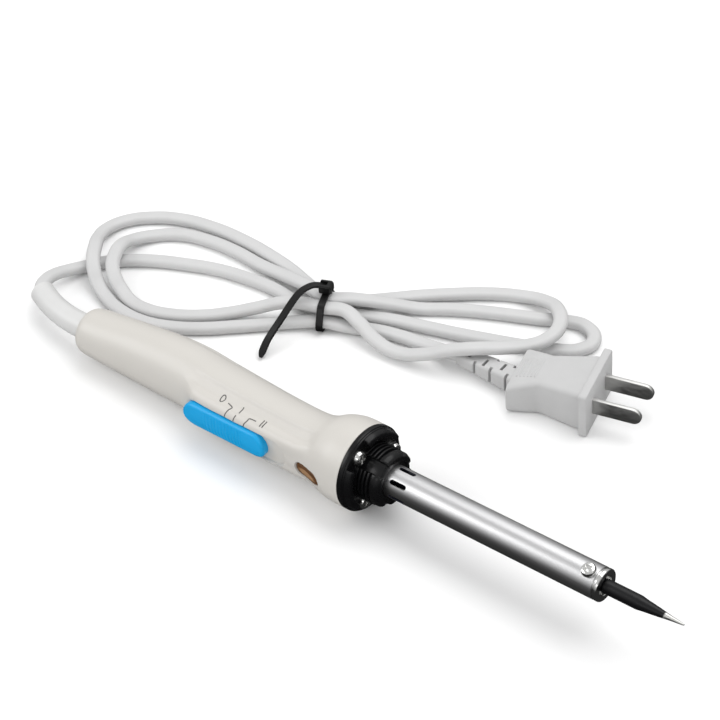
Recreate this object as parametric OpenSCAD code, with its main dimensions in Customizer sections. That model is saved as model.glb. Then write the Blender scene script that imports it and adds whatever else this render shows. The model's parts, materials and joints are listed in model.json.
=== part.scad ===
// Two-heat soldering iron with its flat twin cord, tied in a hank, and a two-blade plug.
// The iron's own axis is +X towards the tip, and x = 0 is the front face of the handle's collar.
// The slider faces -Y. laid() then sets the iron down on z = 0, where its collar and palm swell rest.

/* [Handle] */
// Length of the handle, from the collar's front face to the tail
handle_len = 130.5; // [118:0.5:150]
// Diameter of the collar that carries the nose
collar_d = 30.8; // [28:0.1:36]
// Half height of the palm swell
swell_r = 12; // [10.6:0.1:13.5]
// Radius at the tail
tail_r = 8.8; // [8.2:0.1:10]
// Height of the finger pad above the iron's axis
pad_r = 12.7; // [12.2:0.1:13.6]
// Thickness of the handle's wall
wall = 2; // [1.6:0.1:2.4]
// Height above the axis at which the back cover parts from the shell
cover_y = 7.4; // [6.8:0.1:8]

/* [Power slider] */
// Length of the slider button
slider_len = 36.7; // [30:0.1:42]
// Width of the slider button
slider_w = 10; // [8:0.1:11]
// How far the slider stands above the pad
slider_proud = 1.5; // [1:0.1:2.5]
// Depth of the slider's track below the pad
track_depth = 1.5; // [1.2:0.1:1.8]
// Distance between the off, low and high positions
detent_pitch = 4; // [3:0.1:4.5]
// Distance from the collar's face to the slider's middle at off
slider_back = 51.7; // [50:0.1:56]

/* [Nose] */
// Thickness of the nose's flange
flange_t = 2.4; // [2:0.1:3.5]
// Height of the rim in front of the flange
rim_h = 2.2; // [1.5:0.1:3]
// Distance from the collar's face to the nose's front
nose_len = 12.6; // [11:0.1:16]
// Outer radius of the finned sectors
fin_r = 10.2; // [9.4:0.1:11]
// Radius of the neck under the screw lanes
neck_r = 8.2; // [7.6:0.1:8.4]
// Number of grooves that make the fins
groove_count = 4; // [2:1:5]
// Radius of the circle that the flange screws stand on
screw_circle_r = 11.3; // [11.2:0.1:11.8]
// Diameter of a flange screw's head
flange_head_d = 5.4; // [4.6:0.1:5.6]

/* [Barrel] */
// Outer diameter of the heater barrel
barrel_d = 11.4; // [10.6:0.1:12.6]
// Thickness of the barrel's wall
barrel_wall = 0.4; // [0.3:0.05:0.6]
// Distance from the collar's face to the front of the end bush
barrel_reach = 97; // [85:0.5:115]
// Number of vent slots around the barrel
vent_count = 6; // [4:1:8]
// Length of a vent slot
vent_len = 6.6; // [4:0.1:9]
// Width of a vent slot
vent_w = 1.7; // [1.2:0.1:2.4]
// Thickness of the end bush's rim
rim_t = 1.4; // [1:0.1:2.4]

/* [Tip] */
// Diameter of the tip's shank
tip_d = 4.9; // [4.2:0.1:5.4]
// Length of the tip in front of the end bush
tip_out = 29.4; // [22:0.1:36]
// Length of the cone at the tip's end
tip_cone = 16.6; // [10:0.1:20]
// Depth of the shank behind the end bush's front
tip_in = 52; // [44:0.5:53]
// Distance of the clamp screw behind the end bush's front
clamp_back = 5; // [4.8:0.1:7]

/* [Plug] */
// Distance between the middles of the two blades
blade_pitch = 12.7; // [12.7:0.1:19]
// Length of a blade in front of the plug's face
blade_len = 17.5; // [15:0.1:19]
// Width of a blade
blade_w = 6.35; // [6.2:0.05:6.5]
// Thickness of a blade
blade_t = 1.5; // [1.4:0.05:1.6]
// Width of the plug's front plate
plate_w = 26.7; // [25:0.1:34]
// Height of the plug's front plate
plate_h = 18.7; // [15:0.1:22]
// Length of the plug's body
plug_len = 30.5; // [26:0.1:36]

/* [Cord] */
// Diameter of the solid that stands for the flat twin cord
cord_d = 4.6; // [4:0.1:4.6]

/* [Hidden] */

fit_gap = 0.05;        // radial running clearance of round parts
loose_gap = 0.3;       // clearance of parts that pass each other freely
seam_gap = 0.05;       // gap along the handle's parting line
eps = 0.01;

// ---- Handle outline: [x, reach to -Y, reach to +Y, half height] ----
collar_r = collar_d / 2;
swell_x = -0.6 * handle_len;
slider_x = -slider_back;
slider_travel = 2 * detent_pitch;
pad_back_x = slider_x - slider_len / 2 - 5;
pad_front_x = -22;
outline = [
    [-handle_len,       tail_r - 2.4, tail_r - 2.4, tail_r - 2.4],
    [-handle_len + 0.8, tail_r - 1.0, tail_r - 0.9, tail_r - 1.0],
    [-handle_len + 2.6, tail_r - 0.2, tail_r,       tail_r - 0.1],
    [-handle_len + 9,   tail_r,       tail_r + 0.9, tail_r + 0.5],
    [swell_x - 26,      tail_r,       swell_r - 0.9, swell_r - 1.2],
    [swell_x - 10,      tail_r + 0.1, swell_r + 0.6, swell_r - 0.2],
    [swell_x,           tail_r + 0.4, swell_r + 0.9, swell_r],
    [pad_back_x + 2,    pad_r - 2.4,  swell_r + 0.8, swell_r - 0.1],
    [pad_back_x + 8,    pad_r - 0.6,  swell_r + 0.4, swell_r - 0.2],
    [slider_x,          pad_r,        swell_r - 0.6, swell_r - 0.6],
    [-36,               pad_r,        swell_r - 1.4, swell_r - 1.2],
    [pad_front_x,       pad_r,        swell_r - 1.5, swell_r - 1.3],
    [-16.5,             pad_r + 0.5,  swell_r - 0.4, swell_r - 0.1],
    [-12,               collar_r - 1.2, collar_r - 1.5, collar_r - 1.4],
    [-8,                collar_r - 0.3, collar_r - 0.3, collar_r - 0.3],
    [-5,                collar_r,     collar_r,     collar_r],
    [0,                 collar_r,     collar_r,     collar_r]];
lane_depth = 0.7;       // grip lanes between the finger pad and the side ridges
lane_angle = 60;
lane_half = 17;
shoulder_h = 1;         // the finger pad is flatter than round: its shoulders stand out
shoulder_angle = 33;
shoulder_half = 22;
handle_sides = 40;
handle_rings = 36;

function smooth(t) = let (c = min(max(t, 0), 1)) c * c * (3 - 2 * c);
function lerp(a, b, t) = a + (b - a) * t;
function last_below(x, i = 0) =
    (i >= len(outline) - 2 || outline[i + 1][0] >= x) ? i : last_below(x, i + 1);
// One column of the outline at x, on a smooth curve through its points
function slope(i, c) =
    let (a = max(i - 1, 0), b = min(i + 1, len(outline) - 1))
    (outline[b][c] - outline[a][c]) / (outline[b][0] - outline[a][0]);
function reach(x, c) =
    let (i = last_below(x), p = outline[i], q = outline[i + 1], w = q[0] - p[0], t = (x - p[0]) / w)
    p[c] * (1 + 2 * t) * (1 - t) * (1 - t) + slope(i, c) * w * t * (1 - t) * (1 - t)
    + q[c] * t * t * (3 - 2 * t) - slope(i + 1, c) * w * t * t * (1 - t);
// How far the lanes cut in at x and at an angle from -Y
function lane(x, a) =
    lane_depth * smooth((x - pad_back_x) / 8) * smooth((pad_front_x + 9 - x) / 6)
    * (smooth(1 - abs(abs(a) - lane_angle) / lane_half));
// How far the finger pad's shoulders stand out at x and at an angle from -Y
function shoulder(x, a) =
    shoulder_h * smooth((x - pad_back_x) / 10) * smooth((pad_front_x + 8 - x) / 8)
    * (smooth(1 - abs(abs(a) - shoulder_angle) / shoulder_half));
// Point of the handle's surface, drawn in by inset
function skin(x, a, inset) =
    let (cy = (reach(x, 2) - reach(x, 1)) / 2, ry = (reach(x, 1) + reach(x, 2)) / 2,
         cut = lane(x, a) - shoulder(x, a) + inset)
    [x, cy - (ry - cut) * cos(a), (reach(x, 3) - cut) * sin(a)];
function ring_x(i, x0, x1) =
    let (t = i / handle_rings) lerp(x0, x1, t + 0.06 * sin(360 * t));

module loft(x0, x1, inset) {
    n = handle_sides;
    m = handle_rings;
    rings = [for (i = [0:m], k = [0:n - 1])
             skin(ring_x(i, x0, x1), k * 360 / n - 180, inset)];
    sides = [for (i = [0:m - 1], k = [0:n - 1])
             let (a = i * n + k, b = i * n + (k + 1) % n) [a, b, b + n, a + n]];
    tail = [for (k = [0:n - 1]) n - 1 - k];
    front = [for (k = [0:n - 1]) m * n + k];
    polyhedron(points = rings, faces = concat([tail], sides, [front]), convexity = 4);
}

// ---- Setting the iron down on its collar and its palm swell ----
rest_back = swell_x - 10;
rest_front = -5;
tilt = atan((collar_r - reach(rest_back, 3)) / (rest_front - rest_back));
lift = max([for (x = [-handle_len:0.5:0]) reach(x, 3) * cos(tilt) - x * sin(tilt)]);
tip_end = barrel_reach + tip_out;
mid_x = (tip_end - handle_len) / 2 * cos(tilt) - (tail_r - 2.4) * sin(tilt) / 2;
function laid_way(v) = [v[0] * cos(tilt) - v[2] * sin(tilt), v[1], v[0] * sin(tilt) + v[2] * cos(tilt)];
module laid() {
    translate([-mid_x, 0, lift]) rotate([0, -tilt, 0]) children();
}
module along_x(x0, x1, r) {
    translate([x0, 0, 0]) rotate([0, 90, 0]) cylinder(h = x1 - x0, r = r, $fn = 64);
}
module towards_slider(y0, y1, r) {
    translate([0, -y0, 0]) rotate([90, 0, 0]) cylinder(h = y1 - y0, r = r, $fn = 32);
}
// A bar with round ends in the x-z plane, from y0 to y1 on the slider's side
module stadium(x0, x1, w, y0, y1) {
    for (x = [x0 + w / 2, x1 - w / 2]) translate([x, 0, 0]) towards_slider(y0, y1, w / 2);
    translate([x0 + w / 2, -y1, -w / 2]) cube([x1 - x0 - w, y1 - y0, w]);
}

// ---- Handle ----
front_wall = 3;
tail_wall = 2.4;
spigot_r = 9;
lead_hole_r = 6.4;
screw_angles = [60, 180, 300];
screw_r = 1.45;
screw_grip = 8;                       // length of a flange screw in its boss
boss_r = 3.1;
track_floor = pad_r - track_depth;
track_gap = 0.2;
track_front = slider_x + slider_len / 2 + slider_travel + track_gap;
track_back = slider_x - slider_len / 2 - track_gap;
stem_len = 7;
stem_w = 3.8;
board_len = 62;
board_w = 13;
board_t = 1.6;
board_front = -24;
board_back = board_front - board_len;
board_screw_inset = 4;
board_hole_r = 1.3;
board_post_r = 2.6;
lens_len = 11;
lens_w = 5;
lens_x = -15;
lens_slope = atan((reach(lens_x + 5, 1) - reach(lens_x - 5, 1)) / 10);
relief_hole_r = 4.1;
relief_flange_t = 2;
wire_y = 0;
clamp_x = -handle_len + 20;
clamp_post_z = 4.6;
cover_back = -handle_len + 13;
cover_front = -19;

module at_screws() {
    for (a = screw_angles) rotate([a, 0, 0]) translate([0, -screw_circle_r, 0]) children();
}
module at_board_screws() {
    for (x = [board_back + board_screw_inset, board_front - board_screw_inset])
        translate([x, 0, 0]) children();
}
module at_clamp_posts() {
    for (s = [-1, 1]) translate([clamp_x, 0, s * clamp_post_z]) children();
}
module lens_place() {
    translate([lens_x, -reach(lens_x, 1), 0]) rotate([0, 0, -lens_slope]) children();
}
module cover_zone(grow) {
    translate([cover_back - grow, cover_y - grow, -20])
        cube([cover_front - cover_back + 2 * grow, 20, 40]);
}
module handle_hollow() {
    loft(-handle_len + tail_wall, -front_wall, wall);
}
module handle_shell() {
    color([0.87, 0.86, 0.83]) laid() difference() {
        union() {
            difference() {
                loft(-handle_len, 0, 0);
                handle_hollow();
            }
            intersection() {
                loft(-handle_len + 1, -eps, wall / 2);
                union() {
                    at_screws() along_x(-front_wall - screw_grip, -eps, boss_r);
                    translate([track_back - wall, -pad_r, -slider_w / 2 - wall])
                        cube([track_front - track_back + 2 * wall, track_depth + wall, slider_w + 2 * wall]);
                    at_board_screws() towards_slider(0, pad_r, board_post_r);
                    at_clamp_posts() towards_slider(1.5, pad_r, 2.2);
                }
            }
        }
        along_x(-register_len, eps, spigot_r + fit_gap);
        along_x(-front_wall - eps, 0, lead_hole_r);
        at_screws() along_x(-front_wall - screw_grip - 1, eps, screw_r + 0.02);
        stadium(track_back, track_front, slider_w + 2 * track_gap, track_floor, pad_r + 3);
        translate([slider_x - stem_len / 2 - loose_gap, -pad_r, -stem_w / 2 - track_gap])
            cube([stem_len + slider_travel + 2 * loose_gap, pad_r - 6, stem_w + 2 * track_gap]);
        lens_place() stadium(-lens_len / 2 - fit_gap, lens_len / 2 + fit_gap, lens_w + 2 * fit_gap, -6, 3);
        along_x(-handle_len - 1, -handle_len + tail_wall + 1, relief_hole_r);
        at_board_screws() towards_slider(-eps, 6, 1);
        at_clamp_posts() towards_slider(1, 6, 1);
        cover_zone(seam_gap);
    }
}
module back_cover() {
    hook = 3;
    color([0.87, 0.86, 0.83]) laid() {
        intersection() {
            difference() {
                loft(-handle_len, 0, 0);
                handle_hollow();
            }
            cover_zone(0);
        }
        for (inset = [wall + 3 * fit_gap, wall / 2]) intersection() {
            loft(-handle_len + tail_wall + 1, -front_wall - 1, inset);
            for (x = [cover_back - hook, cover_front - hook])
                translate([inset < wall ? max(x, cover_back) : x, cover_y + 0.4, -3])
                    cube([inset < wall ? hook : 2 * hook, 1.6, 6]);
        }
    }
}

// ---- Power slider and switch ----
lever_w = 3;
lever_gap = 0.1;
switch_len = 24;
switch_w = 7.4;
switch_h = 6;
switch_mid = slider_x + slider_travel / 2;
socket_y = switch_h + 1.2;
rib_count = 9;
rib_pitch = 1.6;
module slider_button() {
    top_r = pad_r + slider_proud;
    color([0, 0.58, 0.86]) laid() difference() {
        union() {
            intersection() {
                stadium(slider_x - slider_len / 2, slider_x + slider_len / 2, slider_w,
                        track_floor + fit_gap, top_r + 1);
                along_x(slider_x - slider_len, slider_x + slider_len, top_r);
            }
            translate([slider_x - stem_len / 2, -track_floor - 1, -stem_w / 2])
                cube([stem_len, track_floor + 1 - socket_y, stem_w]);
        }
        translate([slider_x - lever_w / 2 - lever_gap, -socket_y - 2, -lever_w / 2 - lever_gap])
            cube([lever_w + 2 * lever_gap, 2 + eps, lever_w + 2 * lever_gap]);
        for (i = [0:rib_count])
            translate([slider_x + (i - rib_count / 2) * rib_pitch - 0.2, -top_r - 1, -slider_w])
                cube([0.4, 1.2, 2 * slider_w]);
    }
}
module switch_lever() {
    color([0.12, 0.12, 0.12]) laid() {
        translate([slider_x - lever_w / 2, -socket_y - 1.8, -lever_w / 2])
            cube([lever_w, socket_y - 1.7, lever_w]);
        translate([slider_x - 4, -4.2, -2.4]) cube([8, 1.9, 4.8]);
    }
}
module slide_switch() {
    color([0.7, 0.71, 0.72]) laid() difference() {
        translate([switch_mid - switch_len / 2, -switch_h, -switch_w / 2])
            cube([switch_len, switch_h, switch_w]);
        translate([switch_mid - 8.5, -4.5, -2.6]) cube([17, 3.5, 5.2]);
        translate([slider_x - lever_w / 2 - loose_gap, -switch_h - 1, -lever_w / 2 - lever_gap])
            cube([lever_w + slider_travel + 2 * loose_gap, 4, lever_w + 2 * lever_gap]);
    }
}

// ---- Board and what it carries ----
module control_board() {
    color([0.1, 0.42, 0.2]) laid() difference() {
        translate([board_back, 0, -board_w / 2]) cube([board_len, board_t, board_w]);
        at_board_screws() towards_slider(-board_t - 1, 1, board_hole_r);
    }
}
module axial_part(x, z, r, h, span) {
    lead_r = 0.35;
    y = board_t + r + 0.2;
    translate([x, y, z]) {
        along_x(-h / 2, h / 2, r);
        along_x(-span / 2, span / 2, lead_r);
        for (s = [-1, 1]) translate([s * (span / 2 - lead_r), 0, 0])
            rotate([90, 0, 0]) cylinder(h = r + 0.2, r = lead_r, $fn = 16);
    }
}
module power_diode() {
    color([0.1, 0.1, 0.1]) laid() axial_part(-66, 2.5, 1.4, 5, 11);
}
module lamp_resistor() {
    color([0.75, 0.62, 0.42]) laid() axial_part(-42, -2.5, 1.2, 6.3, 12);
}
module board_screws() {
    color("silver") laid() at_board_screws() {
        translate([0, board_t + 1.3, 0]) towards_slider(0, 1.3, 2);
        translate([0, board_t, 0]) towards_slider(0, board_t + 4.5, 0.98);
    }
}
lamp_y = 7.6;
lamp_r = 1.9;
module neon_lamp() {
    lead_r = 0.3;
    lead_x = board_front - 1.2;
    color([0.95, 0.6, 0.35]) laid() {
        translate([0, -lamp_y, 0]) {
            along_x(-19, -10.5, lamp_r);
            translate([-10.5, 0, 0]) sphere(r = lamp_r, $fn = 32);
        }
        for (s = [-1, 1]) translate([0, 0, s * 0.9]) {
            translate([0, -lamp_y, 0]) along_x(lead_x, -18.5, lead_r);
            translate([lead_x, 0, 0]) towards_slider(0, lamp_y + lead_r, lead_r);
        }
    }
}
module indicator_lens() {
    color([0.72, 0.5, 0.3]) laid() lens_place()
        stadium(-lens_len / 2, lens_len / 2, lens_w, -wall - 0.4, -0.5);
}

// ---- Cord entry ----
wire_r = 1.1;
wire_z = 1.3;
clamp_bar_t = 2;
relief_in = -handle_len + tail_wall + relief_flange_t + 6;
module supply_wires() {
    color([0.35, 0.3, 0.75]) laid() for (s = [-1, 1]) translate([0, wire_y + 0.4, s * wire_z])
        along_x(relief_in, board_back, wire_r);
}
module cord_clamp() {
    color([0.85, 0.85, 0.83]) laid() difference() {
        translate([clamp_x - 2.5, -1.5, -clamp_post_z - 2.4])
            cube([5, 1.5 + wire_y + wire_r + clamp_bar_t, 2 * clamp_post_z + 4.8]);
        for (s = [-1, 1]) translate([0, wire_y + 0.4, s * wire_z])
            along_x(clamp_x - 4, clamp_x + 4, wire_r + 0.02);
        at_clamp_posts() towards_slider(-8, 4, 1.2);
    }
}
module clamp_bar_screws() {
    top = wire_y + wire_r + clamp_bar_t;
    color("silver") laid() at_clamp_posts() {
        translate([0, top + 1.3, 0]) towards_slider(0, 1.3, 2);
        translate([0, top, 0]) towards_slider(0, top + 5.5, 0.98);
    }
}
// Bend of the sleeve behind the tail: [x, y, z] on the iron's own axes
relief_path = [[-handle_len - 1, 0, 0], [-handle_len - 7, 0.2, 0], [-handle_len - 13.5, 1.2, 0],
               [-handle_len - 20, 3, 0], [-handle_len - 26, 5.4, 0]];
relief_r = 4.75;
relief_way = [-0.93, 0.37, 0];
module strain_relief() {
    color([0.86, 0.86, 0.85]) laid() {
        along_x(-handle_len + tail_wall + fit_gap, -handle_len + tail_wall + relief_flange_t, relief_hole_r + 1.5);
        along_x(-handle_len - 2, relief_in, relief_hole_r - fit_gap);
        tube(relief_path, [for (p = relief_path) relief_r], 20, [-1, 0, 0], relief_way);
    }
}

// ---- Nose ----
fin_sector = 90;
groove_w = 0.8;
groove_depth = 1.3;
fins_back = flange_t + 0.6;
fins_front = nose_len - 3.4;
fin_step = (fins_front - fins_back) / groove_count;
panel_sweep = 46;                     // a raised panel in each screw lane
panel_h = 0.5;
panel_back = flange_t + 2.8;
panel_front = nose_len - 0.9;
rim_r = collar_r - 0.7;
rim_in = 11.9;
pocket_half = 23;
register_len = 2;
barrel_lip_r = 7.4;
barrel_lip_t = 0.6;
nose_bore_r = barrel_d / 2 + fit_gap;
// Part of a turned ring, its middle at the angle mid from -Y
module sector(mid, sweep) {
    rotate([180 + mid - sweep / 2, 0, 0]) rotate([0, 90, 0]) rotate([0, 0, 90])
        rotate_extrude(angle = sweep, $fn = 96) children();
}
module front_nose() {
    core_r = neck_r - 1;
    grooves = [for (i = [0:groove_count - 1]) let (x = fins_back + i * fin_step)
               each [[fin_r, x], [fin_r, x + fin_step - groove_w],
                     [fin_r - groove_depth, x + fin_step - groove_w], [fin_r - groove_depth, x + fin_step]]];
    front = [[fin_r - 0.3, fins_front], [fin_r - 0.3, nose_len - 1.6], [fin_r - 0.7, nose_len - 0.7],
             [fin_r - 1.5, nose_len], [core_r, nose_len]];
    color([0.05, 0.05, 0.05]) laid() difference() {
        union() {
            along_x(0, flange_t - 0.6, collar_r);
            along_x(flange_t - 0.7, flange_t, collar_r - 0.4);
            along_x(-register_len + barrel_lip_t, 1, spigot_r);
            along_x(0, nose_len - 0.5, neck_r);
            for (a = screw_angles) {
                sector(a + 60, fin_sector)
                    polygon(concat([[core_r, flange_t - 0.3], [fin_r, flange_t - 0.3]], grooves, front));
                sector(a, panel_sweep) polygon([[core_r, panel_back], [neck_r + panel_h, panel_back],
                                                [neck_r + panel_h, panel_front], [core_r, panel_front]]);
                sector(a + 60, 120 - 2 * pocket_half)
                    polygon([[rim_in, flange_t - 0.3], [rim_r, flange_t - 0.3],
                             [rim_r, flange_t + rim_h - 1.2], [rim_r - 0.5, flange_t + rim_h - 0.3],
                             [rim_r - 1.2, flange_t + rim_h], [rim_in + 0.3, flange_t + rim_h]]);
            }
        }
        along_x(-register_len - 1, nose_len + 1, nose_bore_r);
        at_screws() along_x(-1, flange_t + 1, 1.6);
    }
}
// Pan head with a cross recess, its top towards +X and its shank towards -X
module pan_screw(head_d, head_h, r, length) {
    difference() {
        union() {
            rotate([0, 90, 0]) rotate_extrude($fn = 48)
                polygon([[0, 0], [head_d / 2, 0], [head_d / 2, head_h * 0.45],
                         [head_d / 2 - 0.35, head_h * 0.85], [head_d / 2 - 1.1, head_h], [0, head_h]]);
            along_x(-length, 0, r);
        }
        for (a = [45, 135]) rotate([a, 0, 0])
            translate([head_h - 0.9, -head_d * 0.29, -0.35]) cube([1, head_d * 0.58, 0.7]);
    }
}
module flange_screws() {
    color("silver") laid() at_screws() translate([flange_t, 0, 0])
        pan_screw(flange_head_d, 1.9, screw_r, flange_t + front_wall + screw_grip - 1);
}

// ---- Barrel, end bush and clamp screw ----
barrel_r = barrel_d / 2;
barrel_in_r = barrel_r - barrel_wall;
bush_groove = 0.7;
bush_len = 13;
bush_back = barrel_reach - bush_len;
barrel_end = barrel_reach - rim_t - bush_groove;
tip_r = tip_d / 2;
shank_r = tip_r - 0.25;              // turned down behind the bush's front, so the tip has a shoulder
bush_bore_r = shank_r + fit_gap;
mouth_r = tip_r + 0.95;
mouth_depth = 3;
clamp_x_pos = barrel_reach - clamp_back;
clamp_angle = 72;
clamp_head_d = 5;
clamp_r = 1.5;
clamp_head_h = 1.7;
vent_x = nose_len + 1.3 + vent_len / 2;
module at_clamp() {
    rotate([-clamp_angle, 0, 0]) translate([clamp_x_pos, 0, 0]) children();
}
module heater_barrel() {
    color([0.8, 0.81, 0.82]) laid() difference() {
        union() {
            along_x(-register_len, barrel_end, barrel_r);
            along_x(-register_len, -register_len + barrel_lip_t, barrel_lip_r);
        }
        along_x(-register_len - 1, barrel_end + 1, barrel_in_r);
        for (i = [0:vent_count - 1]) rotate([-45 - i * 360 / vent_count, 0, 0])
            translate([vent_x, 0, 0]) stadium(-vent_len / 2, vent_len / 2, vent_w, barrel_in_r - 1.2, barrel_r + 1);
        at_clamp() towards_slider(barrel_in_r - 1, barrel_r + 1, clamp_r + 0.1);
    }
}
module end_bush() {
    color([0.85, 0.86, 0.87]) laid() difference() {
        union() {
            along_x(bush_back, barrel_reach - 0.5, barrel_in_r - 0.02);
            along_x(barrel_reach - rim_t, barrel_reach - 0.3, barrel_r);
            along_x(barrel_reach - 0.3, barrel_reach, barrel_r - 0.3);
        }
        along_x(bush_back - 1, barrel_reach + 1, bush_bore_r);
        along_x(barrel_reach - mouth_depth, barrel_reach + 1, mouth_r);
        at_clamp() towards_slider(0, barrel_r + 1, clamp_r + fit_gap);
    }
}
module tip_clamp_screw() {
    color("silver") laid() at_clamp() translate([0, -barrel_r - 0.1, 0]) rotate([0, 0, -90])
        pan_screw(clamp_head_d, clamp_head_h, clamp_r, barrel_r - shank_r);
}
module soldering_tip() {
    cone_x = tip_end - tip_cone;
    function share(t) = cone_x + tip_cone * t;
    color([0.1, 0.1, 0.1]) laid() rotate([0, 90, 0]) rotate_extrude($fn = 64)
        polygon([[0, barrel_reach - tip_in], [shank_r - 0.4, barrel_reach - tip_in],
                 [shank_r, barrel_reach - tip_in + 0.4], [shank_r, barrel_reach + fit_gap],
                 [tip_r, barrel_reach + fit_gap], [tip_r, cone_x], [tip_r * 0.86, share(0.1)],
                 [tip_r * 0.71, share(0.31)], [tip_r * 0.33, share(0.72)], [tip_r * 0.19, share(0.94)],
                 [tip_r * 0.12, share(0.985)], [0, tip_end]]);
}

// ---- Heater inside the barrel ----
heater_back = bush_back - 56;
tube_r = bush_bore_r + 0.45;
winding_r = tube_r + 0.9;
sleeve_r = winding_r + 0.7;
ceramic_len = 9;
lead_r = 0.8;
lead_z = tube_r + 0.05 + lead_r;
winding_back = heater_back + ceramic_len + 1;
winding_front = bush_back - 3;
turns = 16;
module heater_tube() {
    color([0.75, 0.75, 0.74]) laid() difference() {
        along_x(heater_back, bush_back, tube_r);
        along_x(heater_back - 1, bush_back + 1, bush_bore_r);
    }
}
module heater_winding() {
    pitch = (winding_front - winding_back) / turns;
    inner = tube_r + 0.02;
    color([0.55, 0.5, 0.45]) laid() rotate([0, 90, 0]) rotate_extrude($fn = 64)
        polygon(concat([[inner, winding_front], [inner, winding_back]],
                       [for (i = [0:turns - 1]) let (x = winding_back + i * pitch)
                        each [[winding_r, x], [winding_r, x + 0.7 * pitch],
                              [winding_r - 0.3, x + 0.7 * pitch], [winding_r - 0.3, x + pitch]]]));
}
module mica_sleeve() {
    color([0.72, 0.64, 0.5]) laid() difference() {
        along_x(winding_back, winding_front + 1, sleeve_r);
        along_x(winding_back - 1, winding_front + 2, winding_r + 0.05);
    }
}
module ceramic_bush() {
    color([0.92, 0.9, 0.85]) laid() difference() {
        along_x(heater_back, heater_back + ceramic_len, barrel_in_r - fit_gap);
        along_x(heater_back - 1, heater_back + ceramic_len + 1, tube_r + 0.02);
        for (s = [-1, 1]) translate([0, 0, s * lead_z])
            along_x(heater_back - 1, heater_back + ceramic_len + 1, lead_r + 0.05);
    }
}
module heater_leads() {
    color([0.9, 0.9, 0.82]) laid() for (s = [-1, 1]) translate([0, 0, s * lead_z])
        along_x(board_front, winding_back, lead_r);
}

// ---- Cord ----
// Sweep of a round section; the first and last sections face the given directions
function unit(v) = v / norm(v);
function heading(path, i, first, last) =
    i == 0 ? unit(first) : i == len(path) - 1 ? unit(last)
    : unit(unit(path[i + 1] - path[i]) + unit(path[i] - path[i - 1]));
module tube(path, radii, sides, first, last) {
    n = sides;
    m = len(path) - 1;
    points = [for (i = [0:m]) let (t = heading(path, i, first, last),
                                   s = unit(cross([0, 0, 1], t)), u = cross(t, s))
              for (k = [0:n - 1])
              path[i] + radii[i] * (s * cos(k * 360 / n) + u * sin(k * 360 / n))];
    walls = [for (i = [0:m - 1], k = [0:n - 1])
             let (a = i * n + k, b = i * n + (k + 1) % n) [a, a + n, b + n, b]];
    polyhedron(points = points,
               faces = concat([[for (k = [0:n - 1]) k]], walls, [[for (k = [0:n - 1]) m * n + n - 1 - k]]),
               convexity = 6);
}
// Where the sleeve ends, in the frame of the floor
relief_last = relief_path[len(relief_path) - 1];
cord_exit = laid_way(relief_last) + [-mid_x, 0, lift];
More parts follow.
